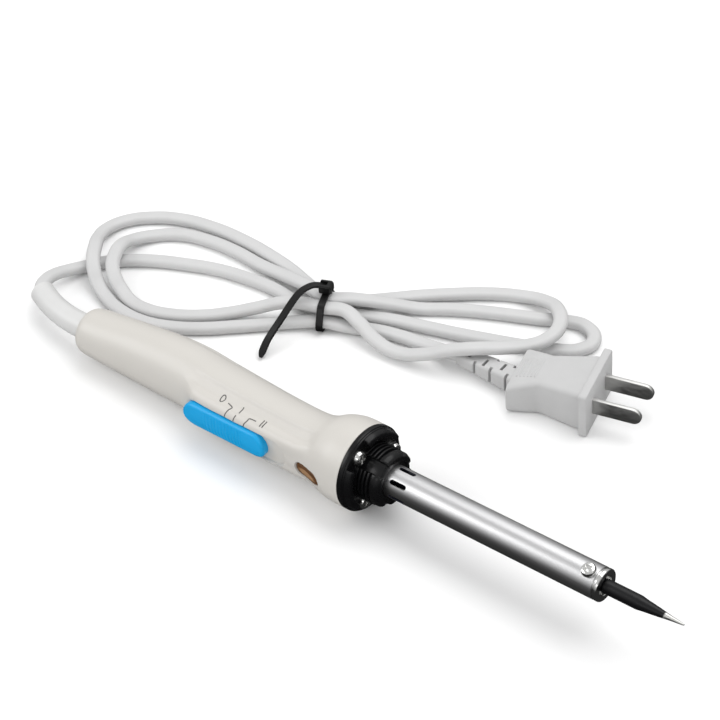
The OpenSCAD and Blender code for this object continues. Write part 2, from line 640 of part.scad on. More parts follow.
// Iron to tie, once around each bight on both sides of the tie, and on to the plug
cord_route = [
    [-157.8, 8.3, 8.5], [-159.7, 12.6, 7.8], [-160.4, 17.8, 6.4], [-159.9, 23.8, 4.3],
    [-157.9, 29.9, 2.7], [-155, 34.9, 2.4], [-150, 40, 2.4], [-139.6, 47.3, 2.4], [-128, 53, 2.4],
    [-116, 57.7, 2.4], [-104, 60.3, 2.4], [-92, 61.6, 2.4], [-79.5, 60.8, 2.8], [-67.5, 62, 3.8],
    [-57.5, 67.8, 2.8], [-46.5, 73.2, 2.4], [-35, 77, 2.4], [-23.5, 80.7, 2.4], [-11.5, 85, 2.4],
    [1.5, 90, 2.4], [11, 94.4, 2.4], [18, 99.6, 2.4], [19.4, 106, 2.4], [13, 110.6, 2.4],
    [5, 108.8, 2.4], [-3, 104.6, 2.4], [-12, 100.5, 2.4], [-22.5, 95.5, 2.4], [-32.5, 90, 2.4],
    [-42, 83.8, 2.4], [-51, 77, 5.2], [-60, 69.9, 7.8], [-68.8, 64.5, 8.1], [-80, 66, 7.2],
    [-92, 67.6, 4.6], [-104.5, 68.8, 2.4], [-117, 69.3, 2.4], [-129.5, 68.2, 2.4], [-141, 64.6, 2.4],
    [-149.3, 57.8, 2.5], [-152.4, 51, 3.9], [-151.4, 43.8, 6.7], [-148.4, 37.2, 7.7],
    [-144.8, 32.2, 7.5], [-140.8, 29.2, 6], [-136.6, 27.6, 3.9], [-130.6, 25.9, 2.5], [-122.2, 26, 2.4],
    [-113.6, 28.9, 2.4], [-104.3, 34.7, 2.4], [-95.7, 41.8, 3.2], [-88, 47.6, 5.4], [-80.5, 53, 7.8],
    [-73.5, 56.8, 8.4], [-66.2, 59.5, 8.1], [-59, 62.6, 8.2], [-51.5, 61.6, 7], [-42.5, 59.8, 4.4],
    [-33, 59.9, 3.6], [-23, 62.4, 6.2], [-14, 66.6, 9.9], [-6, 71.5, 11.3], [1, 77.5, 10.8],
    [6, 84.5, 9.2], [9, 92.5, 8], [8.5, 100.5, 7.8], [3, 107.5, 7.4], [-6, 111.5, 4.4],
    [-16.5, 110.2, 2.4], [-27.5, 104, 2.4], [-37.5, 96.4, 2.4], [-46.5, 88.8, 2.4], [-54.5, 81.2, 2.4],
    [-62, 73.9, 2.8], [-70.1, 66.9, 3.8], [-81.5, 69.9, 3], [-94, 73.4, 2.4], [-107, 75.2, 2.4],
    [-120.5, 75.8, 2.4], [-134, 74.8, 2.4], [-147, 71.5, 2.4], [-157, 65.7, 2.4], [-163.6, 58.6, 2.4],
    [-165.5, 51.2, 3.1], [-162.9, 43.6, 5.2], [-158.2, 37, 7.4], [-153.4, 30.9, 7.7],
    [-149.5, 27.2, 6.6], [-145.6, 24.8, 4.2], [-139.6, 22.2, 2.5], [-130.4, 19.9, 2.4],
    [-119.7, 20.2, 2.4], [-109.7, 23.6, 2.4], [-99, 30.2, 2.4], [-90.7, 37.2, 2.4], [-83, 44, 2.4],
    [-75.2, 50.4, 2.9], [-64.9, 57.1, 3.8], [-55.9, 61, 3], [-46.5, 65.9, 2.4], [-37.5, 68.4, 2.4],
    [-28.5, 69.5, 2.7]];
module mains_cord() {
    route = concat([cord_exit], cord_route, [plug_tail]);
    color([0.87, 0.87, 0.86])
        tube(route, [for (p = route) cord_d / 2], 8, laid_way(relief_way), plug_entry);
}

// ---- Cable tie ----
tie_at = [-67.5, 62, 0];
tie_turn = 24;
tie_w = 2.6;
tie_t = 1;
tie_slack = 0.85;
tie_runs = [[-5.6, 3.8], [0, 3.8], [5.6, 3.8], [-2.8, 8.1], [2.8, 8.1]];
tie_tail = [[-70.4, 64.2, 12.8], [-72.6, 60.4, 13.9], [-73.9, 54.8, 13.2], [-73.6, 45, 9],
            [-73.9, 37, 4.4], [-72.6, 31.2, 1.2]];
module bundle(grow) {
    offset(r = grow, $fn = 24) hull() for (p = tie_runs) translate(p) circle(r = cord_d / 2, $fn = 24);
}
module cable_tie() {
    color([0.06, 0.06, 0.06]) {
        translate(tie_at) rotate([0, 0, tie_turn]) {
            rotate([90, 0, 90]) translate([0, 0, -tie_w / 2]) linear_extrude(tie_w) difference() {
                bundle(tie_t + tie_slack);
                bundle(tie_slack);
            }
            translate([-2.5, 0.4, cord_d / 2 + 8.6]) cube([5, 4.8, 3.8]);
        }
        ribbon(tie_tail, tie_w, tie_t);
    }
}
module ribbon(path, w, t) {
    m = len(path) - 1;
    points = [for (i = [0:m]) let (h = heading(path, i, path[1] - path[0], path[m] - path[m - 1]),
                                   s = unit(cross([0, 0, 1], h)), u = cross(h, s),
                                   half = (i == m ? 0.35 : 1) * w / 2)
              for (c = [[-1, -1], [1, -1], [1, 1], [-1, 1]]) path[i] + s * c[0] * half + u * c[1] * t / 2];
    walls = [for (i = [0:m - 1], k = [0:3]) let (a = 4 * i + k, b = 4 * i + (k + 1) % 4) [a, a + 4, b + 4, b]];
    polyhedron(points = points, faces = concat([[0, 1, 2, 3]], walls,
               [[4 * m + 3, 4 * m + 2, 4 * m + 1, 4 * m]]), convexity = 4);
}

// ---- Plug: +X along the blades, x = 0 on the front plate's face, z = 0 on the floor ----
plug_at = [41, 78.9, 0];
plug_turn = 15;
plate_t = 3;
ladder_len = 25;
ladder_turn = -13;
ladder_end_h = 5;
waist_w = 16.6;
block_w = 22.6;
blade_root = 6;
ladder_z = 4.8;
ladder_root = [1 - plug_len, 0, ladder_z];
plug_tail = plug_at + spin(ladder_root, plug_turn) + spin([-ladder_len, 0, 0], plug_turn + ladder_turn);
plug_entry = spin([1, 0, 0], plug_turn + ladder_turn);
function spin(v, a) = [v[0] * cos(a) - v[1] * sin(a), v[0] * sin(a) + v[1] * cos(a), v[2]];
module plugged() {
    translate(plug_at) rotate([0, 0, plug_turn]) children();
}
module slab(x0, x1, w0, w1, h0, h1) {
    hull() {
        translate([x0, -w0 / 2, 0]) cube([eps, w0, h0]);
        translate([x1 - eps, -w1 / 2, 0]) cube([eps, w1, h1]);
    }
}
module at_blades() {
    for (s = [-1, 1]) translate([0, s * blade_pitch / 2, plate_h / 2]) children();
}
module plug_body() {
    color([0.8, 0.8, 0.79]) plugged() difference() {
        union() {
            slab(-plate_t, 0, plate_w, plate_w, plate_h, plate_h);
            slab(-20, -plate_t, waist_w, plate_w - 4, plate_h - 4, plate_h - 1.6);
            slab(-plug_len, -20, block_w, waist_w, plate_h - 7, plate_h - 4);
            translate(ladder_root) rotate([0, 0, ladder_turn]) hull() {
                translate([0, -4, -4]) cube([eps, 8, 8]);
                translate([-ladder_len, -3, -ladder_end_h / 2]) cube([eps, 6, ladder_end_h]);
            }
        }
        at_blades() translate([-blade_root - 0.02, -blade_t / 2 - 0.02, -blade_w / 2 - 0.02])
            cube([blade_root + 1, blade_t + 0.04, blade_w + 0.04]);
    }
}
module plug_blades() {
    color([0.78, 0.78, 0.76]) plugged() at_blades() {
        translate([-blade_root, -blade_t / 2, -blade_w / 2]) cube([blade_root + blade_len - blade_w / 2, blade_t, blade_w]);
        translate([blade_len - blade_w / 2, blade_t / 2, 0]) rotate([90, 0, 0])
            cylinder(h = blade_t, r = blade_w / 2, $fn = 32);
    }
}

handle_shell();
back_cover();
slider_button();
switch_lever();
slide_switch();
control_board();
power_diode();
lamp_resistor();
board_screws();
neon_lamp();
indicator_lens();
supply_wires();
cord_clamp();
clamp_bar_screws();
strain_relief();
front_nose();
flange_screws();
heater_barrel();
end_bush();
tip_clamp_screw();
soldering_tip();
heater_tube();
heater_winding();
mica_sleeve();
ceramic_bush();
heater_leads();
mains_cord();
cable_tie();
plug_body();
plug_blades();
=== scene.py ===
import json
import math

import bmesh
import bpy
from mathutils import Matrix, Vector


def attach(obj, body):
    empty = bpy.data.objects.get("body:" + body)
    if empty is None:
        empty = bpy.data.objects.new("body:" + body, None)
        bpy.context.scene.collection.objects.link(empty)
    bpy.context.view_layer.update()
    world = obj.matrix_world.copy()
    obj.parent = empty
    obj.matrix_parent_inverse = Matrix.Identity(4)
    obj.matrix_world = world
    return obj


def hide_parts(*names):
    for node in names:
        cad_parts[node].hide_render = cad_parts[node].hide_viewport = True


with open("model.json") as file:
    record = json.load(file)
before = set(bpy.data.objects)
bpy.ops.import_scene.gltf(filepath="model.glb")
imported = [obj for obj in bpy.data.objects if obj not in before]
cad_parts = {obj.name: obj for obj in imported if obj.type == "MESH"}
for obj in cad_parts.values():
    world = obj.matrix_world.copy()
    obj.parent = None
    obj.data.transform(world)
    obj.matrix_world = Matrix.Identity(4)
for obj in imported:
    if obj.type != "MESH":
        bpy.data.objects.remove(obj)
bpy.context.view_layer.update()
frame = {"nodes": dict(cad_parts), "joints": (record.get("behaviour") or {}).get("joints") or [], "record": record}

# ---- The place of the iron -------------------------------------------------
# Pieces of the iron are drawn in millimetres on its own axis: +X to the tip, 0 at the collar's
# front face, the slider towards -Y. The record says how the iron lies on the floor.
slide_joint = next(j for j in frame["joints"] if j["name"] == "power_slide")
shank_mount = next(m for m in frame["record"]["mounts"] if m["name"] == "tip_shank")
mount_x = 0.1034  # the mount's place on the iron's axis
axis_x = Vector(slide_joint["axis"]).normalized()
axis_y = Vector((0, 1, 0))
axis_z = axis_x.cross(axis_y)
iron = Matrix((axis_x, axis_y, axis_z)).transposed().to_4x4()
iron.translation = Vector(shank_mount["pos_m"]) - axis_x * mount_x
iron = iron @ Matrix.Scale(0.001, 4)
mm = Matrix.Scale(0.001, 4)

# ---- Camera ----------------------------------------------------------------
# A long lens, a little over 40 degrees above the bench.


def placed(name, data):
    """A new object in the scene that holds the data."""
    made = bpy.data.objects.new(name, data)
    bpy.context.scene.collection.objects.link(made)
    return made


camera = placed("camera", bpy.data.cameras.new("camera"))
bpy.context.scene.camera = camera
camera.data.lens = 130
camera.data.sensor_width = 36
camera.data.clip_start, camera.data.clip_end = 0.05, 20
yaw, pitch, roll = (math.radians(v) for v in (-42.16, 42.74, -4.56))
forward = Vector((math.sin(yaw) * math.cos(pitch), math.cos(yaw) * math.cos(pitch), -math.sin(pitch)))
level = Vector((math.cos(yaw), -math.sin(yaw), 0))
upward = level.cross(forward)
camera_x = level * math.cos(roll) + upward * math.sin(roll)
camera_y = upward * math.cos(roll) - level * math.sin(roll)
camera.matrix_world = Matrix((camera_x, camera_y, -forward)).transposed().to_4x4()
camera.location = (0.4120, -0.4513, 0.6271)

# ---- Bench top and light ---------------------------------------------------
# A white board and soft boxes: a large one behind and above, one at the left, a strip in front and a
# small one at the right. Gloss sees the dark lower half of the world in place of the board, as in a
# studio with black cards.
bench_half = 4
bench_mesh = bpy.data.meshes.new("bench")
bench_mesh.from_pydata([(x * bench_half, y * bench_half, 0) for x, y in ((-1, -1), (1, -1), (1, 1), (-1, 1))],
                       [], [(0, 1, 2, 3)])
bench = placed("bench", bench_mesh)
board_white = bpy.data.materials.new("board_white")
board_white.use_nodes = True
board_shader = board_white.node_tree.nodes["Principled BSDF"]
board_shader.inputs["Base Color"].default_value = (0.93, 0.93, 0.93, 1)
board_shader.inputs["Roughness"].default_value = 0.9
board_shader.inputs["Specular IOR Level"].default_value = 0.1
bench_mesh.materials.append(board_white)
bench.visible_glossy = False


def wire(tree, *links):
    """Links between nodes, each as (from node, output, to node, input)."""
    for source, output, target, socket in links:
        tree.links.new(source.outputs[output], target.inputs[socket])


def graded(tree, start, stop, low=0.0, high=1.0):
    """A node that turns values from start to stop into values from low to high."""
    made = tree.nodes.new("ShaderNodeMapRange")
    for socket, value in (("From Min", start), ("From Max", stop), ("To Min", low), ("To Max", high)):
        made.inputs[socket].default_value = value
    return made


sky = bpy.data.worlds.new("sky")
bpy.context.scene.world = sky
sky.use_nodes = True
sky_nodes = sky.node_tree.nodes
sky_way = sky_nodes.new("ShaderNodeTexCoord")
sky_split = sky_nodes.new("ShaderNodeSeparateXYZ")
sky_shade = graded(sky.node_tree, -0.15, 0.35, 0.03, 0.68)
wire(sky.node_tree, (sky_way, "Generated", sky_split, "Vector"), (sky_split, "Z", sky_shade, "Value"),
     (sky_shade, "Result", sky_nodes["Background"], "Strength"))
sky_nodes["Background"].inputs["Color"].default_value = (1, 1, 1, 1)
bpy.context.scene.view_settings.view_transform = "Standard"


def soft_box(name, place, aim, size, power):
    """A rectangular area light at place, turned towards aim."""
    lamp = bpy.data.lights.new(name, "AREA")
    lamp.shape = "RECTANGLE"
    lamp.size, lamp.size_y = size
    lamp.energy = power
    box = placed(name, lamp)
    box.location = place
    box.rotation_mode = "QUATERNION"
    box.rotation_quaternion = (Vector(aim) - Vector(place)).to_track_quat("-Z", "Y")


soft_box("overhead_box", (0.05, 0.45, 0.95), (-0.02, 0.05, 0), (1.1, 0.8), 6.6)
soft_box("left_box", (-0.75, -0.55, 0.6), (-0.05, 0.0, 0), (0.6, 0.6), 3.4)
soft_box("front_strip", (0.25, -0.9, 0.55), (0.03, 0.0, 0.02), (0.8, 0.2), 1.0)
soft_box("right_box", (0.95, -0.25, 0.3), (0.08, 0.0, 0.02), (0.35, 0.35), 0.8)


# ---- Mains cord ------------------------------------------------------------
# A flat two-core lead in matt white vinyl, 1.03 m long. It leaves the sleeve, lies in a hank of two
# turns and ends in the moulded plug.
cord_width, cord_thickness, cord_edge = 5.3, 3.5, 1.6
cord_low = 0.5  # the flat lead lies lower than the round solid that stands for it
cord_exit = (-154.168, 5.4, 8.845)
cord_points = [
    (-157.8, 8.3, 8.5), (-159.7, 12.6, 7.8), (-160.4, 17.8, 6.4), (-159.9, 23.8, 4.3),
    (-157.9, 29.9, 2.7), (-155, 34.9, 2.4), (-150, 40, 2.4), (-139.6, 47.3, 2.4), (-128, 53, 2.4),
    (-116, 57.7, 2.4), (-104, 60.3, 2.4), (-92, 61.6, 2.4), (-79.5, 60.8, 2.8), (-67.5, 62, 3.8),
    (-57.5, 67.8, 2.8), (-46.5, 73.2, 2.4), (-35, 77, 2.4), (-23.5, 80.7, 2.4), (-11.5, 85, 2.4),
    (1.5, 90, 2.4), (11, 94.4, 2.4), (18, 99.6, 2.4), (19.4, 106, 2.4), (13, 110.6, 2.4),
    (5, 108.8, 2.4), (-3, 104.6, 2.4), (-12, 100.5, 2.4), (-22.5, 95.5, 2.4), (-32.5, 90, 2.4),
    (-42, 83.8, 2.4), (-51, 77, 5.2), (-60, 69.9, 7.8), (-68.8, 64.5, 8.1), (-80, 66, 7.2),
    (-92, 67.6, 4.6), (-104.5, 68.8, 2.4), (-117, 69.3, 2.4), (-129.5, 68.2, 2.4), (-141, 64.6, 2.4),
    (-149.3, 57.8, 2.5), (-152.4, 51, 3.9), (-151.4, 43.8, 6.7), (-148.4, 37.2, 7.7),
    (-144.8, 32.2, 7.5), (-140.8, 29.2, 6), (-136.6, 27.6, 3.9), (-130.6, 25.9, 2.5), (-122.2, 26, 2.4),
    (-113.6, 28.9, 2.4), (-104.3, 34.7, 2.4), (-95.7, 41.8, 3.2), (-88, 47.6, 5.4), (-80.5, 53, 7.8),
    (-73.5, 56.8, 8.4), (-66.2, 59.5, 8.1), (-59, 62.6, 8.2), (-51.5, 61.6, 7), (-42.5, 59.8, 4.4),
    (-33, 59.9, 3.6), (-23, 62.4, 6.2), (-14, 66.6, 9.9), (-6, 71.5, 11.3), (1, 77.5, 10.8),
    (6, 84.5, 9.2), (9, 92.5, 8), (8.5, 100.5, 7.8), (3, 107.5, 7.4), (-6, 111.5, 4.4),
    (-16.5, 110.2, 2.4), (-27.5, 104, 2.4), (-37.5, 96.4, 2.4), (-46.5, 88.8, 2.4), (-54.5, 81.2, 2.4),
    (-62, 73.9, 2.8), (-70.1, 66.9, 3.8), (-81.5, 69.9, 3), (-94, 73.4, 2.4), (-107, 75.2, 2.4),
    (-120.5, 75.8, 2.4), (-134, 74.8, 2.4), (-147, 71.5, 2.4), (-157, 65.7, 2.4), (-163.6, 58.6, 2.4),
    (-165.5, 51.2, 3.1), (-162.9, 43.6, 5.2), (-158.2, 37, 7.4), (-153.4, 30.9, 7.7),
    (-149.5, 27.2, 6.6), (-145.6, 24.8, 4.2), (-139.6, 22.2, 2.5), (-130.4, 19.9, 2.4),
    (-119.7, 20.2, 2.4), (-109.7, 23.6, 2.4), (-99, 30.2, 2.4), (-90.7, 37.2, 2.4), (-83, 44, 2.4),
    (-75.2, 50.4, 2.9), (-64.9, 57.1, 3.8), (-55.9, 61, 3), (-46.5, 65.9, 2.4), (-37.5, 68.4, 2.4),
    (-28.5, 69.5, 2.7)]
plug_tail = (-12.48, 70.392, 4.8)


def add_piece(name, mesh, finish, sharp=40):
    """A shaded object for a mesh that is already in its place, in metres."""
    mesh.materials.clear()
    mesh.materials.append(finish)
    mesh.shade_smooth()
    mesh.set_sharp_from_angle(angle=math.radians(sharp))
    return placed(name, mesh)


def surface(name, colour, mottle, grain, rough, bump=0.0, stretch=(1, 1, 1), **sockets):
    """A finish whose colour, gloss and grain change a little over the piece.

    mottle is the colour's other end, grain the pattern's size in millimetres.
    """
    made = bpy.data.materials.new(name)
    made.use_nodes = True
    tree = made.node_tree
    nodes = tree.nodes
    shader = nodes["Principled BSDF"]
    place = nodes.new("ShaderNodeTexCoord")
    turn = nodes.new("ShaderNodeMapping")
    turn.inputs["Scale"].default_value = stretch
    noise = nodes.new("ShaderNodeTexNoise")
    noise.inputs["Scale"].default_value = 1000 / grain
    noise.inputs["Detail"].default_value = 4
    tint = nodes.new("ShaderNodeMix")
    tint.data_type = "RGBA"
    tint.inputs["A"].default_value = (*mottle, 1)
    tint.inputs["B"].default_value = (*colour, 1)
    gloss = graded(tree, 0.3, 0.7, *rough)
    wire(tree, (place, "Object", turn, "Vector"), (turn, "Vector", noise, "Vector"),
         (noise, "Fac", tint, "Factor"), (noise, "Fac", gloss, "Value"),
         (tint, "Result", shader, "Base Color"), (gloss, "Result", shader, "Roughness"))
    if bump:
        relief = nodes.new("ShaderNodeBump")
        relief.inputs["Strength"].default_value = bump
        relief.inputs["Distance"].default_value = 0.0001
        wire(tree, (noise, "Fac", relief, "Height"), (relief, "Normal", shader, "Normal"))
    for socket, value in sockets.items():
        shader.inputs[socket.replace("_", " ")].default_value = value
    return made


def node_group(name, inputs):
    """An empty Geometry Nodes group with the named inputs, and its input and output nodes."""
    group = bpy.data.node_groups.new(name, "GeometryNodeTree")
    group.interface.new_socket("Geometry", in_out="INPUT", socket_type="NodeSocketGeometry")
    for label, kind, value in inputs:
        socket = group.interface.new_socket(label, in_out="INPUT", socket_type=kind)
        if value is not None:
            socket.default_value = value
    group.interface.new_socket("Geometry", in_out="OUTPUT", socket_type="NodeSocketGeometry")
    return group, group.nodes.new("NodeGroupInput"), group.nodes.new("NodeGroupOutput")


def plain_mesh(source, name):
    """The mesh that an object has with its modifiers. The object is deleted."""
    mesh = bpy.data.meshes.new_from_object(source.evaluated_get(bpy.context.evaluated_depsgraph_get()))
    bpy.data.objects.remove(source)
    mesh.name = name
    return mesh


def grow(source, group, values, name, finish, sharp=40):
    """The plain mesh piece that a Geometry Nodes group makes of source, which is then deleted."""
    modifier = source.modifiers.new(group.name, "NODES")
    modifier.node_group = group
    for socket in group.interface.items_tree:
        if socket.name in values:
            modifier[socket.identifier] = values[socket.name]
    return add_piece(name, plain_mesh(source, name), finish, sharp)


cord_vinyl = surface("cord_vinyl", (0.58, 0.58, 0.58), (0.54, 0.54, 0.54), 6, (0.42, 0.52), 0.03,
                     Specular_IOR_Level=0.4)
route = [cord_exit] + [(x, y, z - cord_low) for x, y, z in cord_points] + [plug_tail]
route_curve = bpy.data.curves.new("cord_route", "CURVE")
route_curve.dimensions = "3D"
spline = route_curve.splines.new("BEZIER")
spline.bezier_points.add(len(route) - 1)
for knot, spot in zip(spline.bezier_points, route):
    knot.co = Vector(spot) * 0.001
    knot.handle_left_type = knot.handle_right_type = "AUTO"
spline.resolution_u = 8
cord_line = placed("cord_route", route_curve)
cord_graph = bpy.context.evaluated_depsgraph_get()
centre_line = [tuple(v.co) for v in cord_line.evaluated_get(cord_graph).to_mesh().vertices]

lead_tree, lead_in, lead_out = node_group("flat_lead", [
    ("Width", "NodeSocketFloat", 0.005), ("Thickness", "NodeSocketFloat", 0.003),
    ("Edge radius", "NodeSocketFloat", 0.001), ("Finish", "NodeSocketMaterial", None)])
section = lead_tree.nodes.new("GeometryNodeCurvePrimitiveQuadrilateral")
rounded = lead_tree.nodes.new("GeometryNodeFilletCurve")
rounded.mode = "POLY"
rounded.inputs["Count"].default_value = 6
upright = lead_tree.nodes.new("GeometryNodeSetCurveNormal")
upright.mode = "Z_UP"
swept = lead_tree.nodes.new("GeometryNodeCurveToMesh")
swept.inputs["Fill Caps"].default_value = True
solid = lead_tree.nodes.new("GeometryNodeRealizeInstances")
dressed = lead_tree.nodes.new("GeometryNodeSetMaterial")
wire(lead_tree, (lead_in, "Thickness", section, "Height"), (lead_in, "Width", section, "Width"),
     (section, "Curve", rounded, "Curve"), (lead_in, "Edge radius", rounded, "Radius"),
     (lead_in, "Geometry", upright, "Curve"), (upright, "Curve", swept, "Curve"),
     (rounded, "Curve", swept, "Profile Curve"), (swept, "Mesh", solid, "Geometry"),
     (solid, "Geometry", dressed, "Geometry"), (lead_in, "Finish", dressed, "Material"),
     (dressed, "Geometry", lead_out, "Geometry"))
mains_lead = grow(cord_line, lead_tree,
                  {"Width": cord_width / 1000, "Thickness": cord_thickness / 1000,
                   "Edge radius": cord_edge / 1000, "Finish": cord_vinyl}, "mains_lead", cord_vinyl)
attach(mains_lead, "iron")
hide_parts("mains_cord")

# ---- Strain relief ---------------------------------------------------------
# A soft white vinyl sleeve, moulded in one piece with a flange that the handle's two halves hold.
# It bends with the cord and ends in a rounded lip.
relief_r, relief_lip, relief_inside_r = 4.7, 4.2, 3.1
relief_line = [(-126, 0, 0), (-131.5, 0, 0), (-137.5, 0.2, 0), (-144, 1.2, 0), (-150.5, 3, 0), (-156.5, 5.4, 0)]


def smooth_line(points, steps):
    """Points on one smooth curve through the given ones, with so many steps between each two."""
    knots = [Vector(p) for p in points]
    line = []
    for i in range(len(knots) - 1):
        a, b, c, d = knots[max(i - 1, 0)], knots[i], knots[i + 1], knots[min(i + 2, len(knots) - 1)]
        for k in range(steps):
            t = k / steps
            line.append(0.5 * (2 * b + (c - a) * t + (2 * a - 5 * b + 4 * c - d) * t * t
                               + (3 * b - a - 3 * c + d) * t ** 3))
    return line + [knots[-1]]


def skinned(name, rings, place, close_ends=True, joined=False):
    """A mesh over rings of equally many points. joined makes the last ring meet the first."""
    sides = len(rings[0])
    points = [place @ Vector(p) for ring in rings for p in ring]
    spans = len(rings) if joined else len(rings) - 1
    faces = [(a * sides + k, a * sides + (k + 1) % sides, b * sides + (k + 1) % sides, b * sides + k)
             for a in range(spans) for b in [(a + 1) % len(rings)] for k in range(sides)]
    if close_ends and not joined:
        faces += [tuple(range(sides))[::-1], tuple((len(rings) - 1) * sides + k for k in range(sides))]
    mesh = bpy.data.meshes.new(name)
    mesh.from_pydata(points, [], faces)
    shape = bmesh.new()
    shape.from_mesh(mesh)
    bmesh.ops.remove_doubles(shape, verts=shape.verts, dist=1e-7)
    bmesh.ops.recalc_face_normals(shape, faces=shape.faces)
    shape.to_mesh(mesh)
    shape.free()
    return mesh


def heading(line, i):
    """The way a line of points runs at its point i."""
    return (line[min(i + 1, len(line) - 1)] - line[max(i - 1, 0)]).normalized()


def ring_across(spot, ahead, section):
    """A section's (side, up) points, set square to ahead at the spot with their side level."""
    side = Vector((0, 0, 1)).cross(ahead).normalized()
    rise = ahead.cross(side)
    return [spot + side * u + rise * v for u, v in section]


def circle(radius, sides):
    return [(radius * math.cos(2 * math.pi * k / sides), radius * math.sin(2 * math.pi * k / sides))
            for k in range(sides)]


sleeve_line = smooth_line(relief_line, 8)
sleeve_end, before_end = sleeve_line[-1], sleeve_line[-2]
outward = (sleeve_end - before_end).normalized()
lip_steps = [(0.35, relief_lip + 0.35), (0.6, relief_lip), (0.6, relief_inside_r + 0.3), (0.3, relief_inside_r),
             (-3.0, relief_inside_r)]
sleeve_radii = [relief_r - 0.25 * (i / len(sleeve_line)) for i in range(len(sleeve_line))]
sleeve_line += [sleeve_end + outward * step for step, _ in lip_steps]
sleeve_radii += [radius for _, radius in lip_steps]
last_bend = len(sleeve_line) - len(lip_steps) - 1
sleeve_rings = [ring_across(spot, outward if i >= last_bend else heading(sleeve_line, i), circle(radius, 40))
                for i, (spot, radius) in enumerate(zip(sleeve_line, sleeve_radii))]
relief_vinyl = surface("relief_vinyl", (0.64, 0.64, 0.635), (0.60, 0.60, 0.595), 5, (0.36, 0.46), 0.02,
                       Coat_Weight=0.1)
relief_sleeve = add_piece("relief_sleeve", skinned("relief_sleeve", sleeve_rings, iron), relief_vinyl, 50)
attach(relief_sleeve, "iron")
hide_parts("strain_relief")

# ---- Handle: shell and back cover ------------------------------------------
# Two halves moulded in glossy off-white plastic with a 2 mm wall: a shell with the finger pad, the
# slider's track and the lamp's window, and a cover let into its back. Grip lanes run beside the pad.
handle_length, collar_r, swell_r, tail_r, pad_r = 128, 15.4, 12, 8.8, 12.7
handle_wall = 2
swell_x = -78.3
slider_x, slider_length, slider_width, slider_travel = -51.7, 36.7, 10, 8
pad_back, pad_front = slider_x - slider_length / 2 - 5, -22
track_floor, track_gap, track_wall = pad_r - 1.5, 0.2, 0.3
track_ends = (slider_x - slider_length / 2 - track_gap,
              slider_x + slider_length / 2 + slider_travel + track_gap)
lens_x, lens_z, lens_length, lens_width = -14.6, -0.8, 11.2, 5.5
lane_middle, lane_half, lane_depth = 58, 17, 0.8
cover_plane, cover_ends, cover_side, cover_corner = 7.4, (-117.5, -19), 20, 5
handle_outline = [
    # place on the axis, reach to the slider's side, reach to the back, half height
    (-handle_length, tail_r - 2.4, tail_r - 2.4, tail_r - 2.4),
    (-handle_length + 0.8, tail_r - 1.0, tail_r - 0.9, tail_r - 1.0),
    (-handle_length + 2.6, tail_r - 0.2, tail_r, tail_r - 0.1),
    (-handle_length + 9, tail_r, tail_r + 0.9, tail_r + 0.5),
    (swell_x - 26, tail_r, swell_r - 0.9, swell_r - 1.2),
    (swell_x - 10, tail_r + 0.1, swell_r + 0.6, swell_r - 0.2),
    (swell_x, tail_r + 0.4, swell_r + 0.9, swell_r),
    (pad_back + 2, pad_r - 2.4, swell_r + 0.8, swell_r - 0.1),
    (pad_back + 8, pad_r - 0.6, swell_r + 0.4, swell_r - 0.2),
    (slider_x, pad_r, swell_r - 0.6, swell_r - 0.6),
    (-36, pad_r, swell_r - 1.4, swell_r - 1.2),
    (pad_front, pad_r, swell_r - 1.5, swell_r - 1.3),
    (-16.5, pad_r + 0.5, swell_r - 0.4, swell_r - 0.1),
    (-12, collar_r - 1.2, collar_r - 1.5, collar_r - 1.4),
    (-8, collar_r - 0.3, collar_r - 0.3, collar_r - 0.3),
    (-5, collar_r, collar_r, collar_r),
    (0, collar_r, collar_r, collar_r)]


def ease(t):
    t = min(max(t, 0), 1)
    return t * t * (3 - 2 * t)


def reach(x, column):
    """One column of the outline at x, on a smooth curve through its points."""
    last = len(handle_outline) - 1
    i = max([k for k in range(last) if handle_outline[k][0] < x], default=0)

    def slope(k):
        a, b = handle_outline[max(k - 1, 0)], handle_outline[min(k + 1, last)]
        return (b[column] - a[column]) / (b[0] - a[0])

    p, q = handle_outline[i], handle_outline[i + 1]
    width = q[0] - p[0]
    t = (x - p[0]) / width
    return (p[column] * (1 + 2 * t) * (1 - t) ** 2 + slope(i) * width * t * (1 - t) ** 2
            + q[column] * t * t * (3 - 2 * t) - slope(i + 1) * width * t * t * (1 - t))


def bar_distance(x, z, ends, width):
    """How far (x, z) is outside a bar with round ends; negative inside."""
    near = min(max(x, ends[0] + width / 2), ends[1] - width / 2)
    return math.hypot(x - near, z) - width / 2


def handle_point(x, angle, inset=0.0, dents=True):
    """A point of the handle's skin, angle in degrees from -Y towards +Z, drawn in by inset."""
    turn = math.radians(angle)
    front, back, half = reach(x, 1), reach(x, 2), reach(x, 3)
    lane = lane_depth * ease((x - pad_back) / 10) * ease((-13 - x) / 5) * ease(
        1.5 - 1.5 * abs(abs(angle) - lane_middle) / lane_half)
    shoulder = ease((x - pad_back) / 10) * ease((pad_front + 8 - x) / 8) * ease(1 - abs(abs(angle) - 33) / 22)
    cut = lane - shoulder + inset
    point = Vector((x, (back - front) / 2 - ((front + back) / 2 - cut) * math.cos(turn),
                    (half - cut) * math.sin(turn)))
    if dents and abs(angle) < 40:
        in_track = ease(0.9 - bar_distance(x, point.z, track_ends, slider_width + 2 * track_gap) / track_wall)
        if in_track and -point.y > track_floor:
            point.y += (-point.y - track_floor) * in_track
        window = (lens_x - lens_length / 2 - 0.15, lens_x + lens_length / 2 + 0.15)
        point.y += 1.2 * ease(0.5 - (bar_distance(x, point.z - lens_z, window, lens_width + 0.3) - 0.1) / 0.4)
    return point


